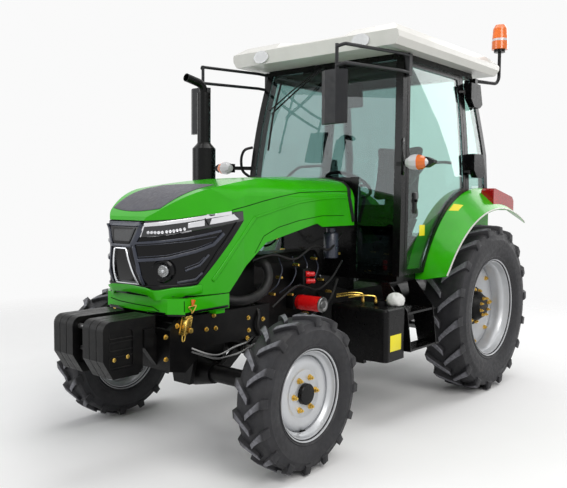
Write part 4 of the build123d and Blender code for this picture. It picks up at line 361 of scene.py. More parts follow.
# CAD nodes by the finish they take
COATS = {
    "bonnet_green": "bonnet_panels bumper_band fenders",
    "roof_white": "roof",
    "casting_black": "front_frame front_weights front_axle_beam engine_block transmission_case rear_axle_housing "
                     "hitch_frame knuckle_left knuckle_right lower_link_left lower_link_right lift_arms lift_rods",
    "frame_black": "radiator cab_steps exhaust_stack cab_floor firewall cab_frame beacon_stalk door_left door_right",
    "plastic_black": "fuel_tank battery_box lamp_housings seat_base cooling_fan steering_wheel",
    "gloss_black": "grille",
    "plastic_grey": "mirrors dash_console side_console",
    "seal_black": "radiator_hose",
    "bare_steel": "drawbar power_takeoff top_link steering_rod",
    "pane_deep": "windscreen",
    "pane_green": "rear_windows door_glass_left door_glass_right",
    "lens_smoke": "headlights",
    "lens_milk": "work_lamps",
    "lens_red": "tail_lamps",
    "lens_amber": "beacon",
    "filter_red": "engine_filters",
    "rim_silver": "front_rim_left front_rim_right rear_rim_left rear_rim_right",
    "tyre_black": "front_tyre_left front_tyre_right rear_tyre_left rear_tyre_right",
    "seat_cloth": "seat_cushions",
}


class Paintshop:
    """Mixes each finish once and puts it on the CAD nodes."""

    def __init__(self) -> None:
        """Mix every finish."""
        self.materials = {finish.name: finish.build() for finish in FINISHES}
        self.slots = {finish.name: finish.slot for finish in FINISHES}

    def coat(self, nodes: dict[str, bpy.types.Object]) -> None:
        """Give each CAD node its finish."""
        for finish, names in COATS.items():
            for name in names.split():
                for material_slot in nodes[name].material_slots:
                    material_slot.material = self.materials[finish]
                log.info("coated %s with %s", name, finish)


# ---------------------------------------------------------------- shaping
def soften(part: Mesh, edges: list, width: float, segments: int = 2) -> None:
    """Bevel some edges of a mesh."""
    if width > 0:
        bmesh.ops.bevel(part, geom=edges, offset=width, segments=segments, profile=0.5, affect="EDGES", material=-1)


def pour(part: Mesh, target: Mesh) -> None:
    """Add one mesh to another and free it."""
    mesh = bpy.data.meshes.new("part")
    part.to_mesh(mesh)
    part.free()
    target.from_mesh(mesh)
    bpy.data.meshes.remove(mesh)


class Skin:
    """The outer skin of some CAD nodes, on which trim is laid."""

    def __init__(self, nodes: dict[str, bpy.types.Object], names: tuple[str, ...], core: tuple[Point, Point],
                 level: bool = False) -> None:
        """Gather the nodes' faces.

        Args:
            nodes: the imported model's objects by name.
            names: the nodes that make the skin.
            core: ends of a line inside the skin, away from which it faces.
            level: whether trim is laid on level, and not straight away from the core.
        """
        self.core = line(core)
        self.level = level
        gathered = bmesh.new()
        for name in names:
            gathered.from_mesh(nodes[name].data)
        self.tree = BVHTree.FromBMesh(gathered)
        gathered.free()

    def settle(self, point: Vector) -> tuple[Vector, Vector]:
        """The place on the skin that a point comes to from outside, and the way that the skin faces there."""
        start, end = self.core
        along = end - start
        share = min(max((point - start).dot(along) / along.length_squared, 0.0), 1.0)
        away = point - start.lerp(end, share)
        if self.level:
            away.z = 0.0
        away.normalize()
        place, normal, _, _ = self.tree.ray_cast(point + away * SKIN_REACH, -away, 2 * SKIN_REACH)
        if place is None:
            place, normal, _, _ = self.tree.find_nearest(point)
        return place, normal

    def route(self, points: list[Vector], step: float = 0.02) -> list[Vector]:
        """Stops on the skin along a line through some points, no further apart than a step."""
        stops = []
        for start, end in zip(points, points[1:]):
            count = max(1, math.ceil((end - start).length / step))
            stops += [start.lerp(end, index / count) for index in range(count)]
        return [self.settle(stop)[0] for stop in stops + [points[-1]]]


class Shaper:
    """Builds one piece from bmesh operations, each of which returns the shaper, and finishes it as an object."""

    def __init__(self, paintshop: Paintshop) -> None:
        """Start with no shape."""
        self.paintshop = paintshop
        self.bm = bmesh.new()

    def take(self, part: Mesh) -> "Shaper":
        """Add another mesh to this piece and free it."""
        pour(part, self.bm)
        return self

    def lathe(self, profile: Profile, centre: Vector, axis: Vector, steps: int = 64, closed: bool = True,
              stretch: Point = (1, 1, 1)) -> "Shaper":
        """Turn a profile of (radius, distance along the axis) points.

        Args:
            profile: the points, in order.
            centre: a point on the axis, where the distance is 0.
            axis: the axis, of length 1.
            steps: number of segments.
            closed: whether the last point joins the first.
            stretch: scale along each axis, from the centre.
        """
        part = bmesh.new()
        start = axis.orthogonal().normalized()
        verts = [part.verts.new(centre + axis * along + start * radius) for radius, along in profile]
        edges = [part.edges.new(pair) for pair in zip(verts, verts[1:])]
        if closed:
            edges.append(part.edges.new((verts[-1], verts[0])))
        bmesh.ops.spin(part, geom=verts + edges, cent=centre, axis=axis, dvec=(0, 0, 0), angle=math.tau,
                       steps=steps, use_merge=True, use_duplicate=False)
        bmesh.ops.remove_doubles(part, verts=part.verts, dist=WELD)
        if stretch != (1, 1, 1):
            bmesh.ops.scale(part, vec=stretch, space=Matrix.Translation(-centre), verts=part.verts)
        bmesh.ops.recalc_face_normals(part, faces=part.faces)
        return self.take(part)

    def block(self, size: Point, centre: Vector, bevel: float = 0.003, turn: Matrix | None = None,
              segments: int = 2) -> "Shaper":
        """Add a block with softened edges.

        Args:
            size: length along each axis.
            centre: its middle.
            bevel: width of the softened edge.
            turn: rotation about its middle.
            segments: segments of the edge.
        """
        part = bmesh.new()
        bmesh.ops.create_cube(part, size=1.0)
        bmesh.ops.scale(part, vec=size, verts=part.verts)
        soften(part, list(part.edges), bevel, segments)
        if turn is not None:
            bmesh.ops.transform(part, matrix=turn.to_4x4(), verts=part.verts)
        bmesh.ops.translate(part, vec=centre, verts=part.verts)
        return self.take(part)

    def plate(self, outline: list[Vector], thickness: Vector, bevel: float = 0.0015) -> "Shaper":
        """Add a flat plate from its outline.

        Args:
            outline: its corners.
            thickness: from the outline to the plate's other face.
            bevel: width of the softened edge.
        """
        part = bmesh.new()
        face = part.faces.new([part.verts.new(point) for point in outline])
        grown = bmesh.ops.extrude_face_region(part, geom=[face])
        moved = [item for item in grown["geom"] if isinstance(item, bmesh.types.BMVert)]
        bmesh.ops.translate(part, vec=thickness, verts=moved)
        bmesh.ops.recalc_face_normals(part, faces=part.faces)
        soften(part, list(part.edges), bevel)
        return self.take(part)

    def rod(self, start: Vector, end: Vector, radius: float, tip_radius: float, sides: int = 24,
            bevel: float = 0.0) -> "Shaper":
        """Add a round rod or cone between two points.

        Args:
            start: middle of one end.
            end: middle of the other.
            radius: radius at the start.
            tip_radius: radius at the end.
            sides: number of sides.
            bevel: width of the softened rims.
        """
        part = bmesh.new()
        along = end - start
        bmesh.ops.create_cone(part, cap_ends=True, segments=sides, radius1=radius, radius2=tip_radius,
                              depth=along.length)
        soften(part, [edge for edge in part.edges if abs(edge.verts[0].co.z - edge.verts[1].co.z) < 1e-6], bevel)
        place = Matrix.Translation((start + end) / 2) @ along.to_track_quat("Z", "Y").to_matrix().to_4x4()
        bmesh.ops.transform(part, matrix=place, verts=part.verts)
        return self.take(part)

    def stack(self, foot: Vector, out: Vector, rows: tuple[tuple, ...]) -> "Shaper":
        """Stack rods on a line, as in a bolt and its nut.

        Args:
            foot: where the line starts.
            out: its direction, of length 1.
            rows: start, end, radius, tip radius, sides and bevel of each rod.
        """
        for start, end, *sizes in rows:
            self.rod(foot + out * start, foot + out * end, *sizes)
        return self

    def pipe(self, points: list[Vector], radius: float, sides: int = 12, bend: float = 0.03) -> "Shaper":
        """Add a bent pipe along a route, with rounded corners.

        Args:
            points: the route's corners.
            radius: the pipe's radius.
            sides: number of sides.
            bend: how far from a corner its curve starts.
        """
        route = [points[0]]
        for before, corner, after in zip(points, points[1:], points[2:]):
            enter = corner + (before - corner).normalized() * min(bend, (corner - before).length * CORNER_SHARE)
            leave = corner + (after - corner).normalized() * min(bend, (after - corner).length * CORNER_SHARE)
            for share in (0.0, 0.2, 0.4, 0.6, 0.8, 1.0):
                route.append(enter.lerp(corner, share).lerp(corner.lerp(leave, share), share))
        route.append(points[-1])
        part = bmesh.new()
        across = (route[1] - route[0]).orthogonal().normalized()
        rings = []
        for index, place in enumerate(route):
            heading = (route[min(index + 1, len(route) - 1)] - route[max(index - 1, 0)]).normalized()
            across = (across - heading * across.dot(heading)).normalized()
            turn = Matrix((across, heading.cross(across), heading)).transposed().to_4x4()
            ring = bmesh.ops.create_circle(part, segments=sides, radius=radius,
                                           matrix=Matrix.Translation(place) @ turn)
            rings.append(sorted({edge for vert in ring["verts"] for edge in vert.link_edges}, key=lambda e: e.index))
        for near, far in zip(rings, rings[1:]):
            bmesh.ops.bridge_loops(part, edges=near + far)
        bmesh.ops.holes_fill(part, edges=rings[0] + rings[-1], sides=sides)
        bmesh.ops.recalc_face_normals(part, faces=part.faces)
        return self.take(part)

    def ribbon(self, skin: Skin, points: list[Vector], width: float, height: float, bevel: float = 0.0008,
               sink: float = 0.002) -> "Shaper":
        """Lay a flat strip along a line on a skin.

        Args:
            skin: what it lies on.
            points: corners of its middle line.
            width: its width.
            height: how far it stands proud.
            bevel: width of its softened edges.
            sink: how far it goes in.
        """
        stops = skin.route(points)
        part = bmesh.new()
        edge = None
        for index, place in enumerate(stops):
            heading = stops[min(index + 1, len(stops) - 1)] - stops[max(index - 1, 0)]
            normal = skin.settle(place)[1]
            across = heading.cross(normal).normalized() * width / 2
            pair = (place + across - normal * sink, place - across - normal * sink)
            if edge is None:
                edge = part.edges.new([part.verts.new(point) for point in pair])
                continue
            near = list(edge.verts)
            bmesh.ops.extrude_edge_only(part, edges=[edge])
            far = [next(link.other_vert(vert) for link in vert.link_edges if link.other_vert(vert) not in near
                        and len(link.other_vert(vert).link_edges) == 2 and link.other_vert(vert).co == vert.co)
                   for vert in near]
            edge = part.edges.get(far)
            for vert, point in zip(far, pair):
                vert.co = point
        return self.raise_sheet(part, skin, height + sink, bevel)

    def ribbons(self, skin: Skin, rows: tuple[tuple, ...], hands: tuple[int, ...] = (1, -1)) -> "Shaper":
        """Lay strips on one or both sides.

        Args:
            skin: what they lie on.
            rows: the corners of each strip, then its width, height and, where set, its bevel and sink.
            hands: the sides, +1 for the left and -1 for the right.
        """
        for hand in hands:
            for points, *sizes in rows:
                self.ribbon(skin, line(points, hand), *sizes)
        return self

    def patch(self, skin: Skin, corners: list[Vector], height: float, cuts: tuple[int, int] = (12, 12),
              bulge: tuple[float, float] = (0.0, 0.0), bevel: float = 0.001, sink: float = 0.002) -> "Shaper":
        """Lay a four-sided sheet on a skin.

        Args:
            skin: what it lies on.
            corners: its corners, in turn.
            height: how far it stands proud.
            cuts: divisions along its first and second side.
            bulge: how far its first side and the one across swell outwards.
            bevel: width of its softened edges.
            sink: how far it goes in.
        """
        part = bmesh.new()
        bmesh.ops.create_grid(part, x_segments=cuts[0], y_segments=cuts[1], size=0.5)
        first, second, third, fourth = corners
        outward = (first - fourth).normalized()
        for vert in part.verts:
            u, v = vert.co.x + 0.5, vert.co.y + 0.5
            swell = outward * (bulge[0] * (1 - v) - bulge[1] * v) * 4 * u * (1 - u)
            landed, normal = skin.settle(first.lerp(second, u).lerp(fourth.lerp(third, u), v) + swell)
            vert.co = landed - normal * sink
        return self.raise_sheet(part, skin, height + sink, bevel)

    def raise_sheet(self, part: Mesh, skin: Skin, height: float, bevel: float) -> "Shaper":
        """Give an open sheet its thickness, away from the skin, and add it.

        Args:
            part: the sheet.
            skin: what it lies on.
            height: its thickness.
            bevel: width of its softened edges.
        """
        grown = bmesh.ops.extrude_face_region(part, geom=part.faces[:])
        for item in grown["geom"]:
            if isinstance(item, bmesh.types.BMVert):
                item.co += skin.settle(item.co)[1] * height
        bmesh.ops.recalc_face_normals(part, faces=part.faces)
        soften(part, [edge for edge in part.edges if edge.is_manifold and edge.calc_face_angle() > SHARP_FOLD], bevel)
        return self.take(part)

    def finish(self, name: str, finish: str, body: str = "chassis", crease: float = 40.0) -> bpy.types.Object:
        """Make the piece an object that rides on a body.

        Args:
            name: the piece's name.
            finish: the name of its finish.
            body: the CAD body it rides on.
            crease: angle in degrees past which an edge stays sharp.

        Returns:
            The finished object.
        """
        mesh = bpy.data.meshes.new(name)
        self.bm.to_mesh(mesh)
        self.bm.free()
        mesh.shade_smooth()
        mesh.set_sharp_from_angle(angle=math.radians(crease))
        mesh.materials.append(self.paintshop.materials[finish])
        piece = bpy.data.objects.new(name, mesh)
        bpy.context.scene.collection.objects.link(piece)
        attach(piece, body)
        log.info("built %s: %d faces, %s, rides on %s", name, len(mesh.polygons), finish, body)
        return piece


@dataclass
class Dresser:
    """Builds the fine pieces of one region."""

    paintshop: Paintshop

    def shape(self) -> Shaper:
        """A new, empty piece."""
        return Shaper(self.paintshop)


# ---------------------------------------------------------------- wheels
@dataclass
class LuggedWheel(Dresser):
    """One wheel: a tyre with slanted lugs, a pressed rim, and what is bolted to it."""

    side: str
    hand: int
    end: str
    tip: float
    width: float
    tread: float
    rim: float
    rim_width: float
    lug_height: float
    lug_count: int
    lug_width: float
    lug_slant: float
    axle: Vector = field(init=False)
    LUG_FOOT = 0.78             # width of a lug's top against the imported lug
    LUG_ROUNDING = 0.06         # softened edge of a lug against its height
    LUG_TURN = 0.92             # share of its length at which a lug stops slanting

    def __post_init__(self) -> None:
        """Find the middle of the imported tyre."""
        low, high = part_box(f"{self.end}_tyre_{self.side}")
        self.axle = (low + high) / 2
        self.axle.z = self.tip
        self.body = f"{self.end}_wheel_{self.side}"
        self.outward = Vector((0, self.hand, 0))
        self.half = self.width / 2
        self.floor = self.tip - self.lug_height
        self.shoulder = self.tread / 2

    def build_tyre(self) -> None:
        """Build the carcass and both rows of lugs."""
        rim, half, floor, shoulder = self.rim, self.half, self.floor, self.shoulder
        bead = self.rim_width / 2 - 0.010
        height = floor - rim
        # columns: radius, distance from the middle; one side from the bead to the crown
        side: Profile = [(rim - 0.014, bead - 0.03), (rim - 0.014, bead), (rim - 0.004, bead + 0.002),
                         (rim + 0.06 * height, bead + 0.010), (rim + 0.09 * height, bead + 0.016),
                         (rim + 0.12 * height, bead + 0.013), (rim + 0.28 * height, half - 0.006),
                         (rim + 0.45 * height, half - 0.001), (rim + 0.60 * height, half - 0.002),
                         (rim + 0.66 * height, half - 0.0005), (rim + 0.69 * height, half - 0.004),
                         (rim + 0.84 * height, half - 0.012), (floor - 0.012, shoulder - 0.004),
                         (floor - 0.003, shoulder - 0.022), (floor, self.tread / 4), (floor, 0.0)]
        profile = side + [(radius, -along) for radius, along in reversed(side[:-1])]
        tyre = self.shape().lathe(profile, self.axle, self.outward, 96).take(self.lug_rows()).finish(
            f"{self.end}_lugged_tyre_{self.side}", f"{self.end}_tyre_black", self.body, 38.0)
        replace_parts(tyre, f"{self.end}_tyre_{self.side}")

    def lug_rows(self) -> Mesh:
        """Both rows of lugs round the tread."""
        rows = bmesh.new()
        pitch = math.tau / self.lug_count
        # columns: side of the tread, share of a pitch that the row is turned by
        for row, turned in ((1, 0.0), (-1, 0.5)):
            part = self.one_lug(row)
            bmesh.ops.rotate(part, cent=self.axle, matrix=Matrix.Rotation(pitch * turned, 3, "Y"), verts=part.verts)
            bmesh.ops.spin(part, geom=part.verts[:] + part.edges[:] + part.faces[:], cent=self.axle, axis=(0, 1, 0),
                           dvec=(0, 0, 0), angle=pitch * (self.lug_count - 1), steps=self.lug_count - 1,
                           use_duplicate=True, use_merge=False)
            bmesh.ops.recalc_face_normals(part, faces=part.faces)
            pour(part, rows)
        return rows

    def one_lug(self, row: int) -> Mesh:
        """A lug on top of the wheel, bent over the shoulder, its inner end leading.

        Args:
            row: +1 for the row on the left, -1 for the right.

        Returns:
            The lug's mesh.
        """
        half, floor, shoulder, tip = self.half, self.floor, self.shoulder, self.tip
        lean = shoulder * math.tan(math.radians(self.lug_slant)) / tip
        part = bmesh.new()
        bmesh.ops.create_cube(part, size=1.0)
        bmesh.ops.translate(part, vec=(0.5, 0, 0.5), verts=part.verts)
        bmesh.ops.scale(part, vec=(shoulder, self.lug_width * self.LUG_FOOT, self.lug_height), verts=part.verts)
        lengthwise = [edge for edge in part.edges if abs((edge.verts[0].co - edge.verts[1].co).x) > 1e-4]
        bmesh.ops.subdivide_edges(part, edges=lengthwise, cuts=9, use_grid_fill=True)
        soften(part, [edge for edge in part.edges if min(v.co.z for v in edge.verts) > self.lug_height * 0.99
                      and len(edge.link_faces) == 2
                      and abs(edge.link_faces[0].normal.dot(edge.link_faces[1].normal)) < 0.5],
               self.lug_height * self.LUG_ROUNDING)
        # columns: share of the lug's length, top (across, radius), root (across, radius)
        path = ((0.0, (-0.006, tip), (-0.006, floor - 0.008)),
                (0.80, (shoulder - 0.016, tip - 0.005), (shoulder - 0.03, floor - 0.016)),
                (self.LUG_TURN, (half - 0.004, tip - 0.012), (shoulder - 0.02, floor - 0.030)),
                (1.0, (half - 0.001, floor - 0.030), (half - 0.030, floor - 0.060)))
        for vert in part.verts:
            share = min(max(vert.co.x / shoulder, 0.0), 1.0)
            rise = vert.co.z / self.lug_height
            across, radius = self.on_path(path, share, rise)
            widen = (0.82 + 0.5 * share ** 2) * (1.14 - 0.14 * rise)
            slant = min(share, self.LUG_TURN) ** 0.88 / self.LUG_TURN
            swing = lean * (0.5 - slant) + vert.co.y * widen / radius
            vert.co = self.axle + Vector((radius * math.sin(swing), row * across, radius * math.cos(swing)))
        return part

    @staticmethod
    def on_path(path: tuple, share: float, rise: float) -> tuple[float, float]:
        """Where a point of the lug lies.

        Args:
            path: the lug's stations.
            share: share of its length.
            rise: 0 at its root, 1 on top.

        Returns:
            The distance across the tread and the radius.
        """
        for (near, top, root), (far, next_top, next_root) in zip(path, path[1:]):
            if share <= far:
                blend = (share - near) / (far - near)
                high = [a + (b - a) * blend for a, b in zip(top, next_top)]
                low = [a + (b - a) * blend for a, b in zip(root, next_root)]
                return tuple(a + (b - a) * rise for a, b in zip(low, high))
        return path[-1][1]

    def build_rim(self, steps: int, disc: Profile | None = None) -> None:
        """Build the pressed rim, the same on both edges, with its disc if that is one piece with it."""
        half, rim = self.rim_width / 2, self.rim
        edge: Profile = [(rim - 0.001, half), (rim, half - 0.004), (rim - 0.003, half - 0.009),
                         (rim - 0.013, half - 0.012), (rim - 0.015, half - 0.018), (rim - 0.018, half * 0.62),
                         (rim - 0.024, half * 0.55), (rim - 0.036, half * 0.42), (rim - 0.038, half * 0.2)]
        inner = [(radius - 0.006, along * 0.985 - 0.002) for radius, along in edge]
        outer_side = edge + [(radius, -along) for radius, along in reversed(edge)]
        inner_side = inner + [(radius, -along) for radius, along in reversed(inner)]
        shaper = self.shape().lathe(outer_side + inner_side[::-1], self.axle, self.outward, steps)
        if disc:
            shaper.lathe(disc, self.axle, self.outward, 96)
        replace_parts(shaper.finish(f"{self.end}_pressed_rim_{self.side}", "rim_silver", self.body),
                    f"{self.end}_rim_{self.side}")


@dataclass
class FrontWheel(LuggedWheel):
    """A steered wheel: bulged disc, six cone nuts and a flat black cap."""

    nuts: int = 6
    nut_circle: float = 0.0925

    def dress(self) -> None:
        """Build the tyre, the rim and its fittings."""
        self.build_tyre()
        axle, out, side, well = self.axle, self.outward, self.side, self.rim - 0.043
        self.build_rim(96, [(well, 0.012), (well - 0.004, 0.020), (well - 0.012, 0.031), (well - 0.025, 0.041),
                            (well - 0.040, 0.046), (well - 0.058, 0.045), (well - 0.072, 0.038),
                            (well - 0.080, 0.035), (well - 0.084, 0.037), (0.058, 0.037), (0.0, 0.037), (0.0, 0.030),
                            (well - 0.084, 0.029), (well - 0.058, 0.036), (well - 0.030, 0.030),
                            (well - 0.008, 0.012)])
        cap: Profile = [(0.0, 0.030), (0.058, 0.030), (0.058, 0.058), (0.054, 0.063), (0.030, 0.064), (0.0, 0.064)]
        self.shape().lathe(cap, axle, out, 48, closed=False).stack(axle, out, (
            (-0.02, 0.03, 0.075, 0.075, 32, 0.004),)).finish(f"front_hub_cap_{side}", "frame_black", self.body, 35.0)
        nuts = self.shape()
        for way in around(self.nuts, 32):
            nuts.stack(axle + way * self.nut_circle + out * 0.036, out,
                       ((0.0, 0.005, 0.017, 0.0165, 20, 0.001), (0.004, 0.020, 0.0135, 0.0125, 6, 0.0012),
                        (0.019, 0.030, 0.008, 0.0055, 16, 0.001)))
        nuts.finish(f"front_wheel_nuts_{side}", "zinc_yellow", self.body, 35.0)
        foot = axle + Vector((0.02, 0, -(well - 0.004))) + out * 0.026
        self.shape().rod(foot, foot + Vector((0.0, self.hand * 0.034, 0.014)), 0.006, 0.005, 12, 0.001).finish(
            f"front_valve_{side}", "seal_black", self.body, 35.0)


@dataclass
class RearWheel(LuggedWheel):
    """A driven wheel: deeply recessed disc bolted to the rim's lugs, and a black drum hub."""

    hub_nuts: int = 8
    rim_bolts: int = 8

    def dress(self) -> None:
        """Build the tyre, the rim, the disc and the hub."""
        self.build_tyre()
        self.build_rim(112)
        axle, out, side, well = self.axle, self.outward, self.side, self.rim - 0.044
        disc: Profile = [(well, -0.030), (well - 0.006, -0.022), (well - 0.020, -0.018), (well - 0.060, -0.020),
                         (well - 0.110, -0.034), (well - 0.135, -0.038), (0.150, -0.036), (0.0, -0.036),
                         (0.0, -0.046), (0.150, -0.046), (well - 0.110, -0.044), (well - 0.060, -0.030),
                         (well - 0.010, -0.030)]
        self.shape().lathe(disc, axle, out, 96).finish(f"rear_wheel_disc_{side}", "rim_silver", self.body)
        hub: Profile = [(0.0, -0.06), (0.150, -0.060), (0.150, -0.022), (0.142, -0.016), (0.118, -0.014),
                        (0.112, 0.020), (0.098, 0.034), (0.090, 0.050), (0.082, 0.062), (0.050, 0.068), (0.0, 0.068)]
        self.shape().lathe(hub, axle, out, 64, closed=False).finish(f"rear_wheel_hub_{side}", "casting_black",
                                                                    self.body, 35.0)
        nuts = self.shape()
        # columns: how many, their circle, how far out they stand, first angle, size
        for count, circle, stand, first, size in ((self.hub_nuts, 0.132, -0.016, 10, 0.016),
                                                  (self.rim_bolts, 0.285, -0.022, 0, 0.016),
                                                  (self.hub_nuts, 0.068, 0.064, 20, 0.011)):
            for way in around(count, first):
                nuts.stack(axle + way * circle + out * stand, out,
                           ((0.0, 0.004, size * 1.15, size * 1.15, 16, 0.0008),
                            (0.003, 0.017, size, size * 0.95, 6, 0.001),
                            (0.016, 0.026, size * 0.55, size * 0.5, 12, 0.0008)))
        nuts.finish(f"rear_wheel_nuts_{side}", "zinc_yellow", self.body, 35.0)


# ---------------------------------------------------------------- nose and bonnet
@dataclass
class Nose(Dresser):
    """What is set in the bonnet's front: bars, bezel, lamps and bright trim."""

    skin: Skin
    fog_place: Point = (2.772, 0.221, 1.087)
    fog_radius: float = 0.056
    leds: int = 11

    def dress(self) -> None:
        """Build every piece of the nose."""
        self.build_badge()
        self.build_bars()
        for side, hand in SIDES:
            self.build_headlight(side, hand)
            self.build_fog_lamp(side, hand)

    def build_badge(self) -> None:
        """Build the bare plate, its bezel, and the bright frame under it."""
        self.shape().ribbons(self.skin, (
            (((2.836, 0.140, 1.338), (2.846, 0.121, 1.29), (2.861, 0.088, 1.224)), 0.030, 0.010, 0.003),
            (((2.859, 0.094, 1.222), (2.854, 0.112, 1.145), (2.823, 0.132, 1.012)), 0.020, 0.008, 0.003),
        )).ribbons(self.skin, (
            (((2.836, -0.135, 1.338), (2.84, 0, 1.338), (2.836, 0.135, 1.338)), 0.026, 0.010, 0.003),
            (((2.862, -0.085, 1.222), (2.87, 0, 1.222), (2.862, 0.085, 1.222)), 0.016, 0.010, 0.003),
        ), (1,)).finish("badge_bezel", "slate_and_painted_highlight", "bonnet", 30)
        corners = line(((2.853, -0.102, 1.318), (2.853, 0.102, 1.318), (2.868, 0.070, 1.234), (2.868, -0.070, 1.234)))
        self.shape().patch(self.skin, corners, 0.004, (10, 6)).finish("badge_plate", "gloss_black", "bonnet", 30)
        self.shape().ribbons(self.skin, (
            (((2.868, 0.050, 1.205), (2.848, 0.073, 1.11), (2.824, 0.095, 1.018)), 0.011, 0.012, 0.003),
        )).ribbons(self.skin, (
            (((2.868, -0.05, 1.207), (2.868, 0.05, 1.207)), 0.007, 0.010, 0.002),
            (((2.823, -0.10, 1.014), (2.823, 0.10, 1.014)), 0.010, 0.012, 0.003),
        ), (1,)).finish("bright_nose_frame", "lamp_chrome", "bonnet", 30)

    def build_bars(self) -> None:
        """Build the grille's bars, fine lines and rim on both sides; the slate of the bars and fine lines is a painted
        highlight on black.
        """
        # the slate colour of the bars and fine lines is painted highlight: the real bars are black plastic that only
        # catches the light
        self.shape().ribbons(self.skin, (
            (((2.854, 0.118, 1.145), (2.742, 0.234, 1.157), (2.591, 0.30, 1.193), (2.495, 0.325, 1.224),
              (2.423, 0.335, 1.285)), 0.018, 0.013, 0.003),
            (((2.859, 0.106, 1.237), (2.777, 0.213, 1.247), (2.648, 0.279, 1.262), (2.440, 0.333, 1.300)),
             0.014, 0.010, 0.003),
            (((2.658, 0.275, 1.085), (2.577, 0.304, 1.112), (2.520, 0.319, 1.170)), 0.012, 0.008, 0.003),
            (((2.700, 0.257, 1.022), (2.600, 0.297, 1.036), (2.560, 0.309, 1.070)), 0.012, 0.008, 0.003),
        )).finish("grille_bars_painted_highlight", "slate_and_painted_highlight", "bonnet", 30)
        self.shape().ribbons(self.skin, (
            (((2.856, 0.112, 1.225), (2.777, 0.213, 1.234), (2.640, 0.281, 1.246), (2.470, 0.329, 1.268)),
             0.004, 0.004, 0.001),
            (((2.856, 0.116, 1.162), (2.742, 0.234, 1.174), (2.600, 0.297, 1.206), (2.50, 0.322, 1.238)),
             0.004, 0.004, 0.001),
            (((2.66, 0.274, 1.100), (2.58, 0.303, 1.127), (2.545, 0.312, 1.158)), 0.004, 0.004, 0.001),
        )).finish("grille_painted_highlight_lines", "slate_and_painted_highlight", "bonnet", 30)
        self.shape().ribbons(self.skin, (
            (((2.316, 0.34, 1.345), (2.461, 0.331, 1.184), (2.591, 0.300, 1.014), (2.719, 0.246, 1.003),
              (2.82, 0.149, 1.003), (2.83, 0.0, 1.003)), 0.014, 0.007, 0.003),
        )).finish("grille_rim", "gloss_black", "bonnet", 30)

    def build_headlight(self, side: str, hand: int) -> None:
        """Build one headlight's bright band, lamp row, rear reflector and division."""
        self.shape().ribbons(self.skin, (
            (((2.836, 0.148, 1.336), (2.76, 0.214, 1.345), (2.644, 0.277, 1.362), (2.50, 0.318, 1.384),
              (2.361, 0.339, 1.400)), 0.020, 0.004),
            (((2.835, 0.149, 1.330), (2.846, 0.131, 1.272)), 0.008, 0.004),
            (((2.846, 0.131, 1.272), (2.78, 0.207, 1.278), (2.701, 0.253, 1.290), (2.62, 0.286, 1.304)),
             0.005, 0.003),
        ), (hand,)).finish(f"headlight_bright_band_{side}", "lamp_silver", "bonnet", 30)
        far = line(((2.515, 0.315, 1.336), (2.500, 0.320, 1.370), (2.345, 0.339, 1.392), (2.300, 0.339, 1.363)), hand)
        near = line(((2.64, 0.281, 1.318), (2.64, 0.281, 1.345), (2.545, 0.308, 1.362), (2.545, 0.308, 1.330)), hand)
        self.shape().patch(self.skin, far, 0.003, (5, 10)).patch(self.skin, near, 0.002, (5, 8)).finish(
            f"headlight_reflector_{side}", "lamp_silver", "bonnet", 20)
        self.shape().ribbons(self.skin, ((((2.545, 0.31, 1.372), (2.520, 0.315, 1.332)), 0.006, 0.005),),
                             (hand,)).finish(f"headlight_division_{side}", "gloss_black", "bonnet", 30)
        row = self.shape()
        stops = self.skin.route(line(((2.822, 0.168, 1.296), (2.776, 0.214, 1.296), (2.714, 0.249, 1.304),
                                      (2.66, 0.276, 1.314)), hand), 0.005)
        for index in range(self.leds):
            place, normal = self.skin.settle(stops[index * (len(stops) - 1) // (self.leds - 1)])
            row.lathe([(0.0085, -0.001), (0.0085, 0.002), (0.0070, 0.0035), (0.0050, 0.0030), (0.0035, 0.0050),
                       (0.0, 0.0058)], place, normal, 20, closed=False)
        row.finish(f"headlight_lamp_row_{side}", "lamp_silver", "bonnet", 30)

    def build_fog_lamp(self, side: str, hand: int) -> None:
        """Build one round lamp in its coned bezel."""
        place, _ = self.skin.settle(ahead(*self.fog_place, hand))
        facing = Vector((0.80, 0.60 * hand, -0.05)).normalized()
        radius = self.fog_radius
        # columns: piece, finish, segments, whether its section is a ring, its section
        for name, finish, steps, closed, profile in (
                ("bezel", "gloss_black", 48, True,
                 [(radius + 0.014, -0.030), (radius + 0.010, 0.004), (radius, 0.012), (radius - 0.006, 0.012),
                  (radius - 0.012, 0.004), (radius - 0.020, 0.000), (radius - 0.024, -0.006),
                  (radius - 0.024, -0.012), (radius - 0.010, -0.030)]),
                ("bowl", "lamp_silver", 40, False,
                 [(radius - 0.023, -0.002), (radius - 0.026, 0.001), (0.022, -0.008), (0.010, -0.012),
                  (0.009, 0.002), (0.005, 0.006), (0.0, 0.007)]),
                ("lens", "lens_clear", 40, True,
                 [(radius - 0.023, 0.000), (radius - 0.023, 0.003), (0.024, 0.008), (0.012, 0.011), (0.0, 0.012),
                  (0.0, 0.009), (0.012, 0.008), (0.024, 0.005)])):
            self.shape().lathe(profile, place, facing, steps, closed).finish(f"fog_lamp_{name}_{side}", finish,
                                                                             "bonnet", 35)


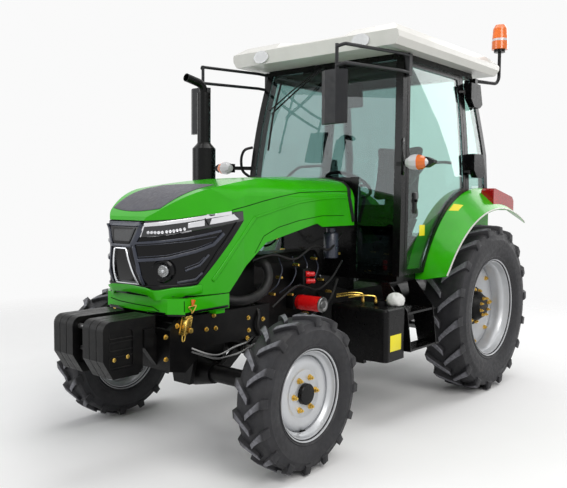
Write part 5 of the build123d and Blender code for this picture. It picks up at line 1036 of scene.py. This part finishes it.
@dataclass
class Bonnet(Dresser):
    """The bonnet's own lines: scoop panel, shut line, a dark line of painted shade along a crease, raised creases,
    lower lip, rear seal.
    """

    skin: Skin

    def dress(self) -> None:
        """Build every line of the bonnet."""
        corners = line(((2.765, 0.200, 1.42), (2.765, -0.200, 1.42), (2.385, -0.205, 1.53), (2.385, 0.205, 1.53)))
        self.shape().patch(self.skin, corners, 0.003, (20, 20), (0.035, 0.045)).finish(
            "bonnet_scoop_panel", "scoop_grey", "bonnet", 30)
        # first strip: the lid's shut line; second strip: painted shade along the bonnet's lower crease, drawn as a
        # dark line
        self.shape().ribbons(self.skin, (
            (((2.36, 0.34, 1.414), (2.076, 0.338, 1.470), (1.725, 0.33, 1.525), (1.45, 0.33, 1.538),
              (1.175, 0.33, 1.545)), 0.004, 0.001, 0),
            (((1.25, 0.34, 1.37), (1.50, 0.34, 1.372), (1.739, 0.34, 1.346), (1.945, 0.34, 1.307),
              (2.079, 0.34, 1.257), (2.155, 0.34, 1.160)), 0.0035, 0.001, 0),
        )).finish("bonnet_shut_line_and_crease_shade", "gap_and_crease_shade_black", "bonnet", 30)
        self.shape().ribbons(self.skin, (
            (((1.20, 0.34, 1.497), (1.45, 0.34, 1.490), (1.738, 0.34, 1.462), (1.944, 0.34, 1.42),
              (2.153, 0.34, 1.373)), 0.016, 0.004, 0.004),
            (((2.153, 0.34, 1.375), (2.344, 0.34, 1.186), (2.495, 0.324, 1.020)), 0.026, 0.005, 0.005),
        )).finish("bonnet_creases", "bonnet_green", "bonnet", 60)
        self.shape().ribbons(self.skin, (
            (((2.565, -0.318, 0.977), (2.62, -0.292, 0.974), (2.719, -0.246, 0.972), (2.82, -0.149, 0.972),
              (2.835, 0.0, 0.972), (2.82, 0.149, 0.972), (2.719, 0.246, 0.972), (2.62, 0.292, 0.974),
              (2.565, 0.318, 0.977)), 0.050, 0.010, 0.008),
        ), (1,)).finish("nose_lower_lip", "bonnet_green", "bonnet", 60)
        self.shape().ribbons(self.skin, (
            (((1.138, 0.0, 1.632), (1.138, 0.2, 1.615), (1.15, 0.31, 1.57), (1.19, 0.34, 1.50), (1.165, 0.34, 1.42),
              (1.135, 0.34, 1.325)), 0.034, 0.006, 0.003),
        )).finish("bonnet_rear_seal", "seal_black", "bonnet")


@dataclass
class Bumper(Dresser):
    """The green band under the nose, with its lines, and the latch that holds the bonnet down."""

    skin: Skin
    wire: float = 0.0036

    def dress(self) -> None:
        """Build the band's lines and the latches."""
        self.shape().ribbons(self.skin, (
            (((2.773, -0.232, 0.902), (2.78, -0.15, 0.892), (2.782, 0.04, 0.888), (2.782, 0.150, 0.886),
              (2.775, 0.200, 0.868)), 0.0045, 0.001, 0),
        ), (1,)).ribbons(self.skin, (
            (((2.712, 0.325, 0.930), (2.716, 0.335, 0.900), (2.716, 0.335, 0.872)), 0.004, 0.001, 0),
        )).finish("bumper_panel_lines", "gap_and_crease_shade_black", crease=30)
        self.shape().ribbons(self.skin, (
            (((2.775, 0.10, 0.842), (2.772, 0.245, 0.845), (2.712, 0.34, 0.858), (2.60, 0.34, 0.866),
              (2.385, 0.34, 0.868)), 0.014, 0.004, 0.002),
        )).finish("bumper_lower_trim", "gloss_black", crease=30)
        for side, hand in SIDES:
            self.build_latch(side, hand)

    def build_latch(self, side: str, hand: int) -> None:
        """Build one toggle latch with its wire loops."""
        latch = self.shape()
        lean = Matrix.Rotation(math.radians(-14), 3, "Y")
        # columns: size, middle, softened edge
        for size, middle, bevel in (((0.062, 0.005, 0.100), (2.668, 0.284, 0.790), 0.002),
                                    ((0.012, 0.046, 0.100), (2.692, 0.305, 0.786), 0.003),
                                    ((0.040, 0.030, 0.044), (2.664, 0.305, 0.806), 0.005),
                                    ((0.050, 0.012, 0.016), (2.672, 0.322, 0.834), 0.003)):
            latch.block(size, ahead(*middle, hand), bevel, lean)
        for x, z, radius, sides, bevel in ((2.660, 0.762, 0.015, 20, 0.002), (2.672, 0.826, 0.009, 16, 0.001)):
            latch.rod(ahead(x, 0.284, z, hand), ahead(x, 0.330, z, hand), radius, radius, sides, bevel)
        latch.pipe(line(((2.680, 0.306, 0.745), (2.690, 0.306, 0.705), (2.706, 0.306, 0.705), (2.704, 0.306, 0.745)),
                        hand), self.wire, 10, 0.012)
        latch.pipe(line(((2.668, 0.310, 0.822), (2.668, 0.346, 0.870), (2.700, 0.350, 0.898), (2.640, 0.350, 0.902),
                         (2.660, 0.346, 0.870), (2.662, 0.310, 0.822)), hand), self.wire, 10, 0.008)
        latch.finish(f"bonnet_latch_{side}", "zinc_yellow")
        self.shape().rod(ahead(2.668, 0.349, 0.900, hand), ahead(2.664, 0.351, 0.935, hand), 0.006, 0.013, 4,
                         0.002).finish(f"bonnet_latch_tip_{side}", "lens_amber")


# ---------------------------------------------------------------- running gear and engine
@dataclass
class FrontWeights(Dresser):
    """The cast weights' recesses, rods and bolts."""

    outer: float = 0.2195

    def dress(self) -> None:
        """Build what shows on the weights."""
        ribs, bolts = self.shape(), self.shape()
        for _, hand in SIDES:
            # columns: height of a recess's middle, half its height
            for level, half in ((0.788, 0.026), (0.722, 0.022), (0.640, 0.030)):
                corners = ((2.955, level + half), (3.115, level + half), (3.115, level - half), (2.955, level - half),
                           (2.955, level + half))
                ribs.pipe([ahead(x, self.outer - 0.0045, z, hand) for x, z in corners], 0.004, 8, 0.012)
            for x, z in ((3.085, 0.655), (3.000, 0.660)):
                bolts.rod(ahead(x, 0.214, z, hand), ahead(x, self.outer, z, hand), 0.013, 0.012, 6, 0.001)
        ribs.finish("weight_recess_rims", "casting_black")
        bolts.finish("weight_bolts", "zinc_yellow")
        bar = self.shape()
        # columns: place along, height, start and end across, radius, tip radius, sides, softened rim
        for x, z, start, end, *sizes in ((3.108, 0.805, -0.046, 0.046, 0.014, 0.014, 24),
                                         (3.100, 0.688, -0.046, 0.046, 0.011, 0.011, 24),
                                         (3.108, 0.805, 0.020, 0.040, 0.022, 0.020, 6, 0.002)):
            bar.rod(ahead(x, start, z), ahead(x, end, z), *sizes)
        bar.finish("weight_cross_rods", "bare_steel")


@dataclass
class RunningGear(Dresser):
    """Bolts on the frame plates, steering lines, wires and fittings of the open engine."""

    plate: float = 0.2795

    def dress(self) -> None:
        """Build the fittings of the frame and engine."""
        self.build_bolts()
        self.build_runs()
        self.build_fittings()
        self.build_filters()

    def build_bolts(self) -> None:
        """Build the bolts along both frame plates."""
        bolts = self.shape()
        for _, hand in SIDES:
            for x, z in ((2.444, 0.815), (2.502, 0.741), (2.429, 0.738), (2.153, 0.764), (2.148, 0.688),
                         (2.161, 0.642), (2.72, 0.79), (2.80, 0.62), (2.80, 0.74), (2.02, 0.74), (2.02, 0.60)):
                bolts.stack(ahead(x, self.plate, z, hand), Vector((0, hand, 0)),
                            ((0.0, 0.003, 0.014, 0.014, 16, 0.0008), (0.002, 0.013, 0.0105, 0.0098, 6, 0.001)))
        bolts.finish("frame_bolts", "zinc_yellow")

    def build_runs(self) -> None:
        """Build the steel lines and hoses over the front axle, and the wires and pipes round the engine."""
        injector = tuple((((start, 0.20, 1.10), (start + 0.03, 0.262, 1.02 + step), (start + 0.09, 0.268, 0.93),
                           (start + 0.13, 0.20, 0.87)), 0.0045, 8, 0.03)
                         for start, step in ((1.40, 0.0), (1.52, 0.02), (1.64, -0.02), (1.78, 0.01)))
        # columns: piece, finish, runs; of each run its corners, radius, sides and bend
        for name, finish, runs in (
                ("steering_lines", "bare_steel", (
                    (((2.617, 0.285, 0.652), (2.54, 0.330, 0.612), (2.47, 0.350, 0.596), (2.34, 0.350, 0.628),
                      (2.234, 0.345, 0.636), (2.12, 0.285, 0.640)), 0.0055, 10, 0.04),
                    (((2.617, 0.285, 0.632), (2.47, 0.335, 0.572), (2.30, 0.340, 0.580), (2.10, 0.285, 0.60)),
                     0.0055, 10, 0.04))),
                ("steering_hoses", "seal_black", (
                    (((2.09, 0.20, 0.86), (2.06, 0.292, 0.80), (2.10, 0.302, 0.70), (2.02, 0.292, 0.60),
                      (1.96, 0.22, 0.56)), 0.010, 12, 0.05),)),
                ("injector_pipes", "slate_and_painted_highlight", injector),
                ("engine_wires", "seal_black", (
                    (((1.16, 0.26, 1.24), (1.34, 0.285, 1.12), (1.50, 0.280, 1.18), (1.72, 0.285, 1.08),
                      (1.90, 0.26, 1.14), (2.05, 0.22, 1.10)), 0.008, 10, 0.07),
                    (((1.18, 0.28, 1.05), (1.32, 0.300, 0.94), (1.46, 0.285, 0.86), (1.70, 0.29, 0.93),
                      (1.92, 0.27, 0.80)), 0.007, 10, 0.07),
                    (((1.22, 0.27, 0.92), (1.36, 0.31, 0.78), (1.60, 0.31, 0.70), (1.84, 0.28, 0.66)),
                     0.009, 10, 0.08)))):
            shaper = self.shape()
            for _, hand in SIDES:
                for points, *sizes in runs:
                    shaper.pipe(line(points, hand), *sizes)
            shaper.finish(name, finish)

    def build_fittings(self) -> None:
        """Build the fittings on the engine and the breather can."""
        fittings = self.shape()
        for _, hand in SIDES:
            for x, z in ((1.39, 0.93), (1.47, 1.08), (1.66, 1.05), (1.83, 0.98), (1.72, 0.86), (1.30, 0.84),
                         (1.90, 0.88), (1.56, 0.72), (1.20, 1.10), (1.28, 1.19)):
                fittings.stack(ahead(x, 0.225, z, hand), Vector((0, hand, 0)), ((0.0, 0.05, 0.010, 0.009, 6, 0.001),))
        fittings.finish("brass_fittings", "zinc_yellow")
        self.shape().lathe([(0.0, -0.10), (0.046, -0.10), (0.052, -0.094), (0.052, 0.07), (0.047, 0.078),
                            (0.034, 0.082), (0.034, 0.11), (0.0, 0.112)], ahead(1.255, 0.235, 1.17), UP, 40,
                           closed=False).finish("breather_can", "slate_and_painted_highlight")

    def build_filters(self) -> None:
        """Build the filter can with its bright end and black head, the red caps, and the thick coolant hose."""
        out = Vector((0, 1, 0))
        place = ahead(1.62, 0.300, 0.800)
        can = self.shape()
        can.lathe([(0.0, -0.060), (0.040, -0.060), (0.048, -0.052), (0.049, -0.030), (0.0505, -0.026),
                   (0.049, -0.022), (0.049, 0.136), (0.046, 0.142), (0.0, 0.142)], place, out, 48, closed=False)
        for x, z in ((1.58, 0.985), (1.575, 0.938)):
            can.lathe([(0.0, -0.016), (0.018, -0.016), (0.020, -0.012), (0.020, 0.010), (0.016, 0.014),
                       (0.016, 0.044), (0.012, 0.048), (0.0, 0.048)], ahead(x, 0.285, z), Vector((-0.8, 0.6, 0.0)),
                      28, closed=False)
        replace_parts(can.finish("fuel_filter_can", "filter_red"), "engine_filters")
        self.shape().lathe([(0.0495, 0.134), (0.0500, 0.144), (0.046, 0.150), (0.032, 0.149), (0.024, 0.144),
                            (0.022, 0.151), (0.0, 0.151)], place, out, 48, closed=False).finish("fuel_filter_end",
                                                                                                "bare_steel")
        self.shape().block((0.110, 0.100, 0.090), ahead(1.620, 0.195, 0.800), 0.008).block(
            (0.090, 0.110, 0.120), ahead(1.575, 0.225, 0.962), 0.010).finish("filter_heads", "casting_black")
        hose = self.shape().pipe(line(((1.99, 0.200, 1.085), (1.985, 0.275, 1.080), (1.978, 0.298, 0.985),
                                       (2.055, 0.300, 0.896), (2.230, 0.288, 0.866), (2.335, 0.200, 0.900))),
                                 0.029, 20, 0.09).finish("coolant_hose", "seal_black")
        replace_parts(hose, "radiator_hose")


# ---------------------------------------------------------------- cab
@dataclass
class CabTrim(Dresser):
    """Wiper, hand rails, lamps, inside mirror and labels of the cab, with its dark lining, whose part behind the cab
    is painted shade.
    """

    liner_y: float = 0.5567

    def dress(self) -> None:
        """Build the cab's small pieces."""
        self.build_wiper()
        self.build_inside()
        for side, hand in SIDES:
            self.build_indicator(side, hand)
            self.build_door_trim(side, hand)
            self.build_work_lamp_rims(side, hand)

    def build_wiper(self) -> None:
        """Build the wiper, its parallel arms, and the grab handles on the front pillars."""
        wiper = self.shape().rod(ahead(0.988, -0.030, 2.440), ahead(1.012, -0.030, 2.452), 0.016, 0.013, 20, 0.002)
        wiper.pipe(line(((1.012, -0.030, 2.450), (1.075, -0.250, 2.285), (1.104, -0.455, 2.135))), 0.006, 10, 0.05)
        wiper.pipe(line(((1.012, -0.060, 2.452), (1.082, -0.275, 2.295), (1.110, -0.470, 2.160))), 0.005, 10, 0.05)
        wiper.finish("wiper_arms", "gloss_black")
        self.shape().pipe(line(((1.060, -0.396, 2.372), (1.106, -0.44, 2.12), (1.128, -0.467, 1.853))), 0.008, 8,
                          0.05).finish("wiper_blade", "seal_black")
        rails = self.shape()
        for _, hand in SIDES:
            rails.pipe(line(((1.065, 0.690, 1.890), (1.130, 0.722, 1.872), (1.152, 0.735, 1.80),
                             (1.140, 0.735, 1.70), (1.085, 0.700, 1.655)), hand), 0.011, 14, 0.04)
        rails.finish("pillar_grab_handles", "gloss_black")

    def build_inside(self) -> None:
        """Build the mirror inside the windscreen, the liner over the fenders, whose part behind the cab is a dark
        sheet of painted shade, and the headliner.
        """
        self.shape().block((0.030, 0.240, 0.170), ahead(0.86, 0.10, 2.245), 0.014,
                           Matrix.Rotation(math.radians(8), 3, "Y"), 4).rod(
            ahead(0.87, 0.10, 2.32), ahead(0.87, 0.10, 2.46), 0.008, 0.008, 14, 0.001).finish(
            "inside_mirror", "plastic_black")
        # behind the cab, from x -0.255 back to -0.60, the liner is a dark sheet of painted shade on the fender's inner
        # wall seen through the rear window
        outline = ((-0.255, 1.21), (-0.60, 1.21), (-0.60, 1.33), (-0.50, 1.43), (-0.38, 1.51), (-0.255, 1.545),
                   (-0.13, 1.570), (0.06, 1.555), (0.26, 1.495), (0.44, 1.385), (0.58, 1.250), (0.69, 1.100),
                   (0.745, 0.985), (0.335, 0.985), (0.335, 1.20))
        for side, hand in SIDES:
            self.shape().plate([ahead(x, self.liner_y, z, hand) for x, z in outline], Vector((0, 0.005 * hand, 0)),
                               0.001).finish(f"fender_liner_and_painted_shade_{side}", "liner_and_shade_black")
        self.shape().block((1.120, 1.130, 0.012), ahead(0.365, 0, 2.470), 0.004).block(
            (0.260, 0.620, 0.040), ahead(0.780, 0, 2.445), 0.014).finish("cab_headliner", "liner_and_shade_black")

    def build_indicator(self, side: str, hand: int) -> None:
        """Build the clear and amber lens of one front indicator."""
        aim = Vector((-0.15, hand, 0)).normalized()
        start = ahead(1.205, 0.792, 1.724, hand)
        # columns: piece, finish, section
        for name, finish, profile in (
                ("clear", "lens_milk", [(0.0, 0.0), (0.026, 0.006), (0.046, 0.034), (0.052, 0.064), (0.050, 0.086),
                                        (0.0, 0.086)]),
                ("amber", "lens_amber", [(0.0, 0.086), (0.050, 0.086), (0.047, 0.106), (0.038, 0.130),
                                         (0.032, 0.142), (0.0, 0.142)]),
                ("tip", "lens_milk", [(0.0, 0.142), (0.032, 0.142), (0.016, 0.168), (0.004, 0.190), (0.0, 0.192)])):
            self.shape().lathe(profile, start, aim, 10, closed=False).finish(f"indicator_{name}_{side}", finish,
                                                                             crease=20)

    def build_door_trim(self, side: str, hand: int) -> None:
        """Build one door's inner pull rail, its latch and, on the left, its label."""
        body = f"door_{side}"
        self.shape().pipe(line(((0.965, 0.640, 1.500), (0.925, 0.615, 1.535), (0.583, 0.600, 1.751),
                                (0.289, 0.595, 1.773), (0.200, 0.605, 1.770)), hand), 0.012, 14, 0.06).finish(
            f"door_pull_rail_{side}", "gloss_black", body)
        self.shape().block((0.060, 0.022, 0.150), ahead(0.905, 0.690, 1.460, hand), 0.008).rod(
            ahead(0.905, 0.700, 1.475, hand), ahead(0.905, 0.716, 1.475, hand), 0.012, 0.010, 20, 0.002).finish(
            f"door_latch_{side}", "plastic_black", body)
        if hand > 0:
            self.shape().plate(line(((0.838, 0.6975, 1.305), (0.760, 0.6975, 1.305), (0.760, 0.6975, 1.228),
                                     (0.838, 0.6975, 1.228))), Vector((0, 0.0012, 0)), 0.0003).finish(
                "door_label", "label_yellow", body)

    def build_work_lamp_rims(self, side: str, hand: int) -> None:
        """Build the bright bowls of one side's work lamps."""
        rims = self.shape()
        for x, way in ((1.243, 1), (-0.364, -1)):
            rims.lathe([(0.046, -0.010), (0.046, -0.002), (0.043, 0.000), (0.036, -0.001), (0.033, -0.004)],
                       ahead(x, 0.448, 2.546, hand), Vector((way, 0, 0)), 48, closed=False, stretch=(1, 1.5, 1))
        rims.finish(f"work_lamp_rims_{side}", "lamp_chrome")


@dataclass
class BodyTrim(Dresser):
    """The pale edge of each rear fender, its label, the beacon's clear band, and the tank's fittings."""

    skin: Skin
    centre: tuple[float, float] = (-0.120, 0.330)
    radius: float = 1.089

    def dress(self) -> None:
        """Build the trim of fenders, beacon and tank."""
        self.build_fender_edges()
        self.build_beacon_band()
        self.build_tank_fittings()

    def build_fender_edges(self) -> None:
        """Build the rolled edges and the bare label."""
        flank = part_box("fenders")[1].y
        turns = [math.radians(34 + index * 86 / 24) for index in range(25)]
        for side, hand in SIDES:
            stops = [self.skin.settle(ahead(self.centre[0] + self.radius * math.cos(turn), flank,
                                            self.centre[1] + self.radius * math.sin(turn), hand))[0] for turn in turns]
            self.shape().pipe(stops, 0.006, 10, 0.005).finish(f"fender_edge_{side}", "roof_white")
        corners = line(((0.345, 0.708, 1.47), (0.290, 0.758, 1.47), (0.360, 0.758, 1.40), (0.415, 0.708, 1.40)))
        self.shape().patch(self.skin, corners, 0.001, (6, 6), bevel=0).finish("fender_label", "label_yellow")

    def build_beacon_band(self) -> None:
        """Build the clear band round the beacon."""
        low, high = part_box("beacon")
        foot = Vector(((low.x + high.x) / 2, (low.y + high.y) / 2, low.z))
        radius = (high.x - low.x) / 2
        self.shape().lathe([(radius - 0.004, 0.012), (radius - 0.0006, 0.012), (radius - 0.0003, 0.040),
                            (radius - 0.0006, 0.086), (radius - 0.004, 0.086)], foot, UP, 48).finish(
            "beacon_clear_band", "lens_milk")

    def build_tank_fittings(self) -> None:
        """Build the tank's label, the filler's white cover and the brass fittings."""
        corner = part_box("fuel_tank")[1]
        self.shape().plate([Vector((REAR_AXLE_X + x, corner.y - 0.0008, z)) for x, z in (
            (1.235, 0.605), (1.370, 0.605), (1.370, 0.50), (1.235, 0.50))], Vector((0, 0.0016, 0)), 0.0004).finish(
            "tank_label", "label_yellow")
        top = corner.z
        foot = ahead(1.205, 0.735, top - 0.030)
        cover = self.shape().lathe([(0.0, 0.0), (0.044, 0.0), (0.056, 0.012), (0.062, 0.030), (0.058, 0.052),
                                    (0.044, 0.072), (0.022, 0.082), (0.0, 0.084)], foot, UP, 40, closed=False)
        for vert in cover.bm.verts:
            bearing = math.atan2(vert.co.y - foot.y, vert.co.x - foot.x)
            vert.co += (vert.co - foot).normalized() * 0.004 * math.sin(7 * bearing + 90 * vert.co.z)
        cover.finish("filler_cover", "cover_white", crease=80)
        brass = self.shape()
        for x, y in ((1.33, 0.56), (1.30, 0.64), (1.24, 0.50)):
            brass.rod(ahead(x, y, top - 0.012), ahead(x, y, top + 0.012), 0.011, 0.011, 6, 0.001)
            brass.pipe(line(((x, y, top + 0.008), (x, y, top + 0.035), (x + 0.05, y - 0.06, top + 0.04),
                             (x + 0.08, y - 0.16, top + 0.02))), 0.006, 8, 0.03)
        brass.finish("tank_fittings", "zinc_yellow")


# ---------------------------------------------------------------- seat
@dataclass
class Seat(Dresser):
    """The driver's cushions, filled and seamed."""

    pressure: float = 4.0
    cap: float = 0.024              # how far the cover may swell
    edge: float = 0.026             # rounding of the cushion's edges
    cell: float = 0.009             # size of the even mesh
    frames: int = 15                # steps in which the cover fills
    seams: tuple[float, float] = (0.055, 0.150)
    seam_depth: float = 0.009
    seam_width: float = 0.007

    def dress(self) -> None:
        """Build both cushions in place of the CAD ones."""
        for name, size, centre, lean in (("seat_squab", (0.440, 0.450, 0.085), ahead(0.190, 0, 1.372), 0.0),
                                         ("seat_back", (0.085, 0.430, 0.470), ahead(-0.028, 0, 1.705), -8.0)):
            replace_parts(self.cushion(name, size, centre, lean), "seat_cushions")

    def cushion(self, name: str, size: Point, centre: Vector, lean: float) -> bpy.types.Object:
        """Build one cushion.

        Args:
            name: its name.
            size: its size before it fills.
            centre: its middle.
            lean: how far it leans, in degrees.

        Returns:
            The cushion.
        """
        shaper = self.shape()
        mesh = shaper.bm
        bmesh.ops.create_cube(mesh, size=1.0)
        bmesh.ops.scale(mesh, vec=size, verts=mesh.verts)
        soften(mesh, list(mesh.edges), self.edge, 3)
        bmesh.ops.subdivide_edges(mesh, edges=mesh.edges[:], cuts=3, use_grid_fill=True)
        bmesh.ops.rotate(mesh, cent=(0, 0, 0), matrix=Matrix.Rotation(math.radians(lean), 3, "Y"), verts=mesh.verts)
        bmesh.ops.translate(mesh, vec=centre, verts=mesh.verts)
        piece = shaper.finish(name, "seat_cloth", crease=60)
        self.fill(piece)
        self.sew(piece, centre, 2 if size[0] > size[2] else 0)
        piece.data.shade_smooth()
        return piece

    def fill(self, piece: bpy.types.Object) -> None:
        """Blow the cushion up under its cover, up to the cap."""
        remesh = piece.modifiers.new("even mesh", "REMESH")
        remesh.mode = "VOXEL"
        remesh.voxel_size = self.cell
        self.settle(piece)
        flat = [vert.co.copy() for vert in piece.data.vertices]
        cloth = piece.modifiers.new("cover", "CLOTH").settings
        cloth.use_pressure = True
        cloth.uniform_pressure_force = self.pressure
        cloth.effector_weights.gravity = 0.0
        cloth.quality = 4
        for frame in range(1, self.frames + 1):
            bpy.context.scene.frame_set(frame)
        self.settle(piece)
        bpy.context.scene.frame_set(1)
        for vert, start in zip(piece.data.vertices, flat):
            move = vert.co - start
            if move.length > self.cap:
                vert.co = start + move.normalized() * self.cap

    def settle(self, piece: bpy.types.Object) -> None:
        """Apply the cushion's modifiers to its mesh."""
        graph = bpy.context.evaluated_depsgraph_get()
        mesh = bpy.data.meshes.new_from_object(piece.evaluated_get(graph))
        piece.modifiers.clear()
        piece.data = mesh

    def sew(self, piece: bpy.types.Object, centre: Vector, outward: int) -> None:
        """Pull in the sewn channels.

        Args:
            piece: the cushion.
            centre: its middle.
            outward: the axis that its face looks along, 2 for the squab and 0 for the back.
        """
        for vert in piece.data.vertices:
            across = abs(vert.co.y - centre.y)
            channel = sum(math.exp(-((across - seam) / self.seam_width) ** 2) for seam in self.seams)
            side = 1.0 if vert.co[outward] > centre[outward] else 0.2
            vert.co[outward] -= math.copysign(self.seam_depth * channel * side, vert.co[outward] - centre[outward])


# ---------------------------------------------------------------- stage
@dataclass
class Studio:
    """The floor, the lamps, the pale surround and the camera."""

    eye: Point = (4.135, 3.1413, 1.4822)
    yaw: float = 3.8395
    pitch: float = -0.0643
    roll: float = 0.0074
    lens: float = 44.57
    surround: Colour = (0.955, 0.955, 0.955, 1.0)
    ambient: float = 0.42           # strength of the light from all round
    floor_radius: float = 9.0
    fade: tuple[float, float] = (2.6, 6.5)      # radii between which the floor fades
    aim: Point = (0.0, 0.0, 1.1)                # what the lamps point at

    def build(self) -> None:
        """Set up everything round the tractor."""
        self.build_camera()
        self.build_world()
        self.build_floor()
        # columns: name, place, size, watts, colour
        for name, place, size, power, colour in (("key_lamp", (3.0, 6.5, 6.0), 4.5, 330, (1.0, 0.985, 0.96)),
                                                 ("fill_lamp", (6.0, -3.5, 3.5), 4.0, 130, (0.96, 0.98, 1.0)),
                                                 ("top_lamp", (-1.0, 0.0, 7.5), 6.0, 230, (1.0, 1.0, 1.0)),
                                                 ("back_lamp", (-6.5, 1.5, 4.0), 4.0, 140, (1.0, 1.0, 1.0))):
            lamp = bpy.data.lights.new(name, "AREA")
            lamp.size, lamp.energy, lamp.color = size, power, colour
            turn = (Vector(self.aim) - Vector(place)).to_track_quat("-Z", "Y").to_matrix()
            self.hang(name, lamp, place, turn)
        bpy.context.scene.view_settings.view_transform = "Standard"

    @staticmethod
    def hang(name: str, data: bpy.types.ID, place: Point, turn: Matrix) -> bpy.types.Object:
        """Put a lamp or camera at its place."""
        holder = bpy.data.objects.new(name, data)
        holder.matrix_world = Matrix.Translation(place) @ turn.to_4x4()
        bpy.context.scene.collection.objects.link(holder)
        return holder

    def build_camera(self) -> None:
        """Place the camera at its eye point."""
        camera = bpy.data.cameras.new("camera")
        camera.sensor_width = 36.0
        camera.lens = self.lens
        camera.clip_end = 200.0
        look = Vector((math.cos(self.yaw) * math.cos(self.pitch), math.sin(self.yaw) * math.cos(self.pitch),
                       math.sin(self.pitch)))
        turn = look.to_track_quat("-Z", "Y").to_matrix() @ Matrix.Rotation(self.roll, 3, "Z")
        bpy.context.scene.camera = self.hang("camera", camera, self.eye, turn)

    def build_world(self) -> None:
        """Light from all round, and a pale surround for the eye, for metal and for glass."""
        world = bpy.data.worlds.new("surround")
        bpy.context.scene.world = world
        world.use_nodes = True
        tree = world.node_tree
        light = tree.nodes["Background"]
        light.inputs["Color"].default_value = (1.0, 1.0, 1.0, 1.0)
        light.inputs["Strength"].default_value = self.ambient
        seen = tree.nodes.new("ShaderNodeBackground")
        seen.inputs["Color"].default_value = self.surround
        rays = tree.nodes.new("ShaderNodeLightPath").outputs
        chosen = rays["Is Camera Ray"]
        for name in ("Is Glossy Ray", "Is Transmission Ray"):
            either = tree.nodes.new("ShaderNodeMath")
            either.operation = "MAXIMUM"
            tree.links.new(chosen, either.inputs[0])
            tree.links.new(rays[name], either.inputs[1])
            chosen = either.outputs[0]
        mixer = tree.nodes.new("ShaderNodeMixShader")
        for source, target in zip((chosen, light.outputs[0], seen.outputs[0]), mixer.inputs):
            tree.links.new(source, target)
        tree.links.new(mixer.outputs[0], tree.nodes["World Output"].inputs["Surface"])

    def build_floor(self) -> None:
        """Lay a pale round floor that fades into the surround."""
        shape = bmesh.new()
        bmesh.ops.create_circle(shape, cap_ends=True, segments=96, radius=self.floor_radius)
        mesh = bpy.data.meshes.new("floor")
        shape.to_mesh(mesh)
        shape.free()
        bench = Bench("floor_pale")
        bench.shader.inputs["Roughness"].default_value = 0.9
        bench.shader.inputs["Specular IOR Level"].default_value = 0.0
        tone = bench.mix(bench.noise(3.0), (0.90, 0.90, 0.90, 1.0), (0.925, 0.925, 0.925, 1.0))
        bench.link(tone, bench.shader.inputs["Base Color"])
        fade = bench.spread(bench.reach(bench.place), 0.0, 1.0, *self.fade)
        mixer = bench.add("MixShader", fade, bench.shader.outputs[0], bench.add("BsdfTransparent").outputs[0])
        bench.link(mixer.outputs[0], bench.tree.nodes["Material Output"].inputs["Surface"])
        mesh.materials.append(bench.material)
        floor = bpy.data.objects.new("floor", mesh)
        bpy.context.scene.collection.objects.link(floor)


def main() -> None:
    """Load the frame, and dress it."""
    logging.basicConfig(level=logging.INFO, format="%(name)s: %(message)s")
    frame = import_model()
    paintshop = Paintshop()
    nodes = frame["nodes"]
    paintshop.coat(nodes)
    for side, hand in SIDES:
        FrontWheel(paintshop, side, hand, "front", tip=0.432, width=0.210, tread=0.188, rim=0.252, rim_width=0.170,
                   lug_height=0.026, lug_count=16, lug_width=0.046, lug_slant=42.0).dress()
        RearWheel(paintshop, side, hand, "rear", tip=0.645, width=0.328, tread=0.300, rim=0.378, rim_width=0.270,
                  lug_height=0.034, lug_count=18, lug_width=0.062, lug_slant=45.0).dress()
    Nose(paintshop, Skin(nodes, ("grille", "headlights", "bonnet_panels"), ((1.3, 0, 1.2), (2.5, 0, 1.2)),
                         level=True)).dress()
    Bonnet(paintshop, Skin(nodes, ("bonnet_panels", "grille"), ((1.0, 0, 1.2), (2.45, 0, 1.2)))).dress()
    Bumper(paintshop, Skin(nodes, ("bumper_band",), ((2.3, 0, 0.88), (2.55, 0, 0.88)), level=True)).dress()
    FrontWeights(paintshop).dress()
    RunningGear(paintshop).dress()
    CabTrim(paintshop).dress()
    BodyTrim(paintshop, Skin(nodes, ("fenders",), ((-0.12, -1, 0.6), (-0.12, 1, 0.6)))).dress()
    Seat(paintshop).dress()
    Studio().build()


if __name__ == "__main__":
    main()
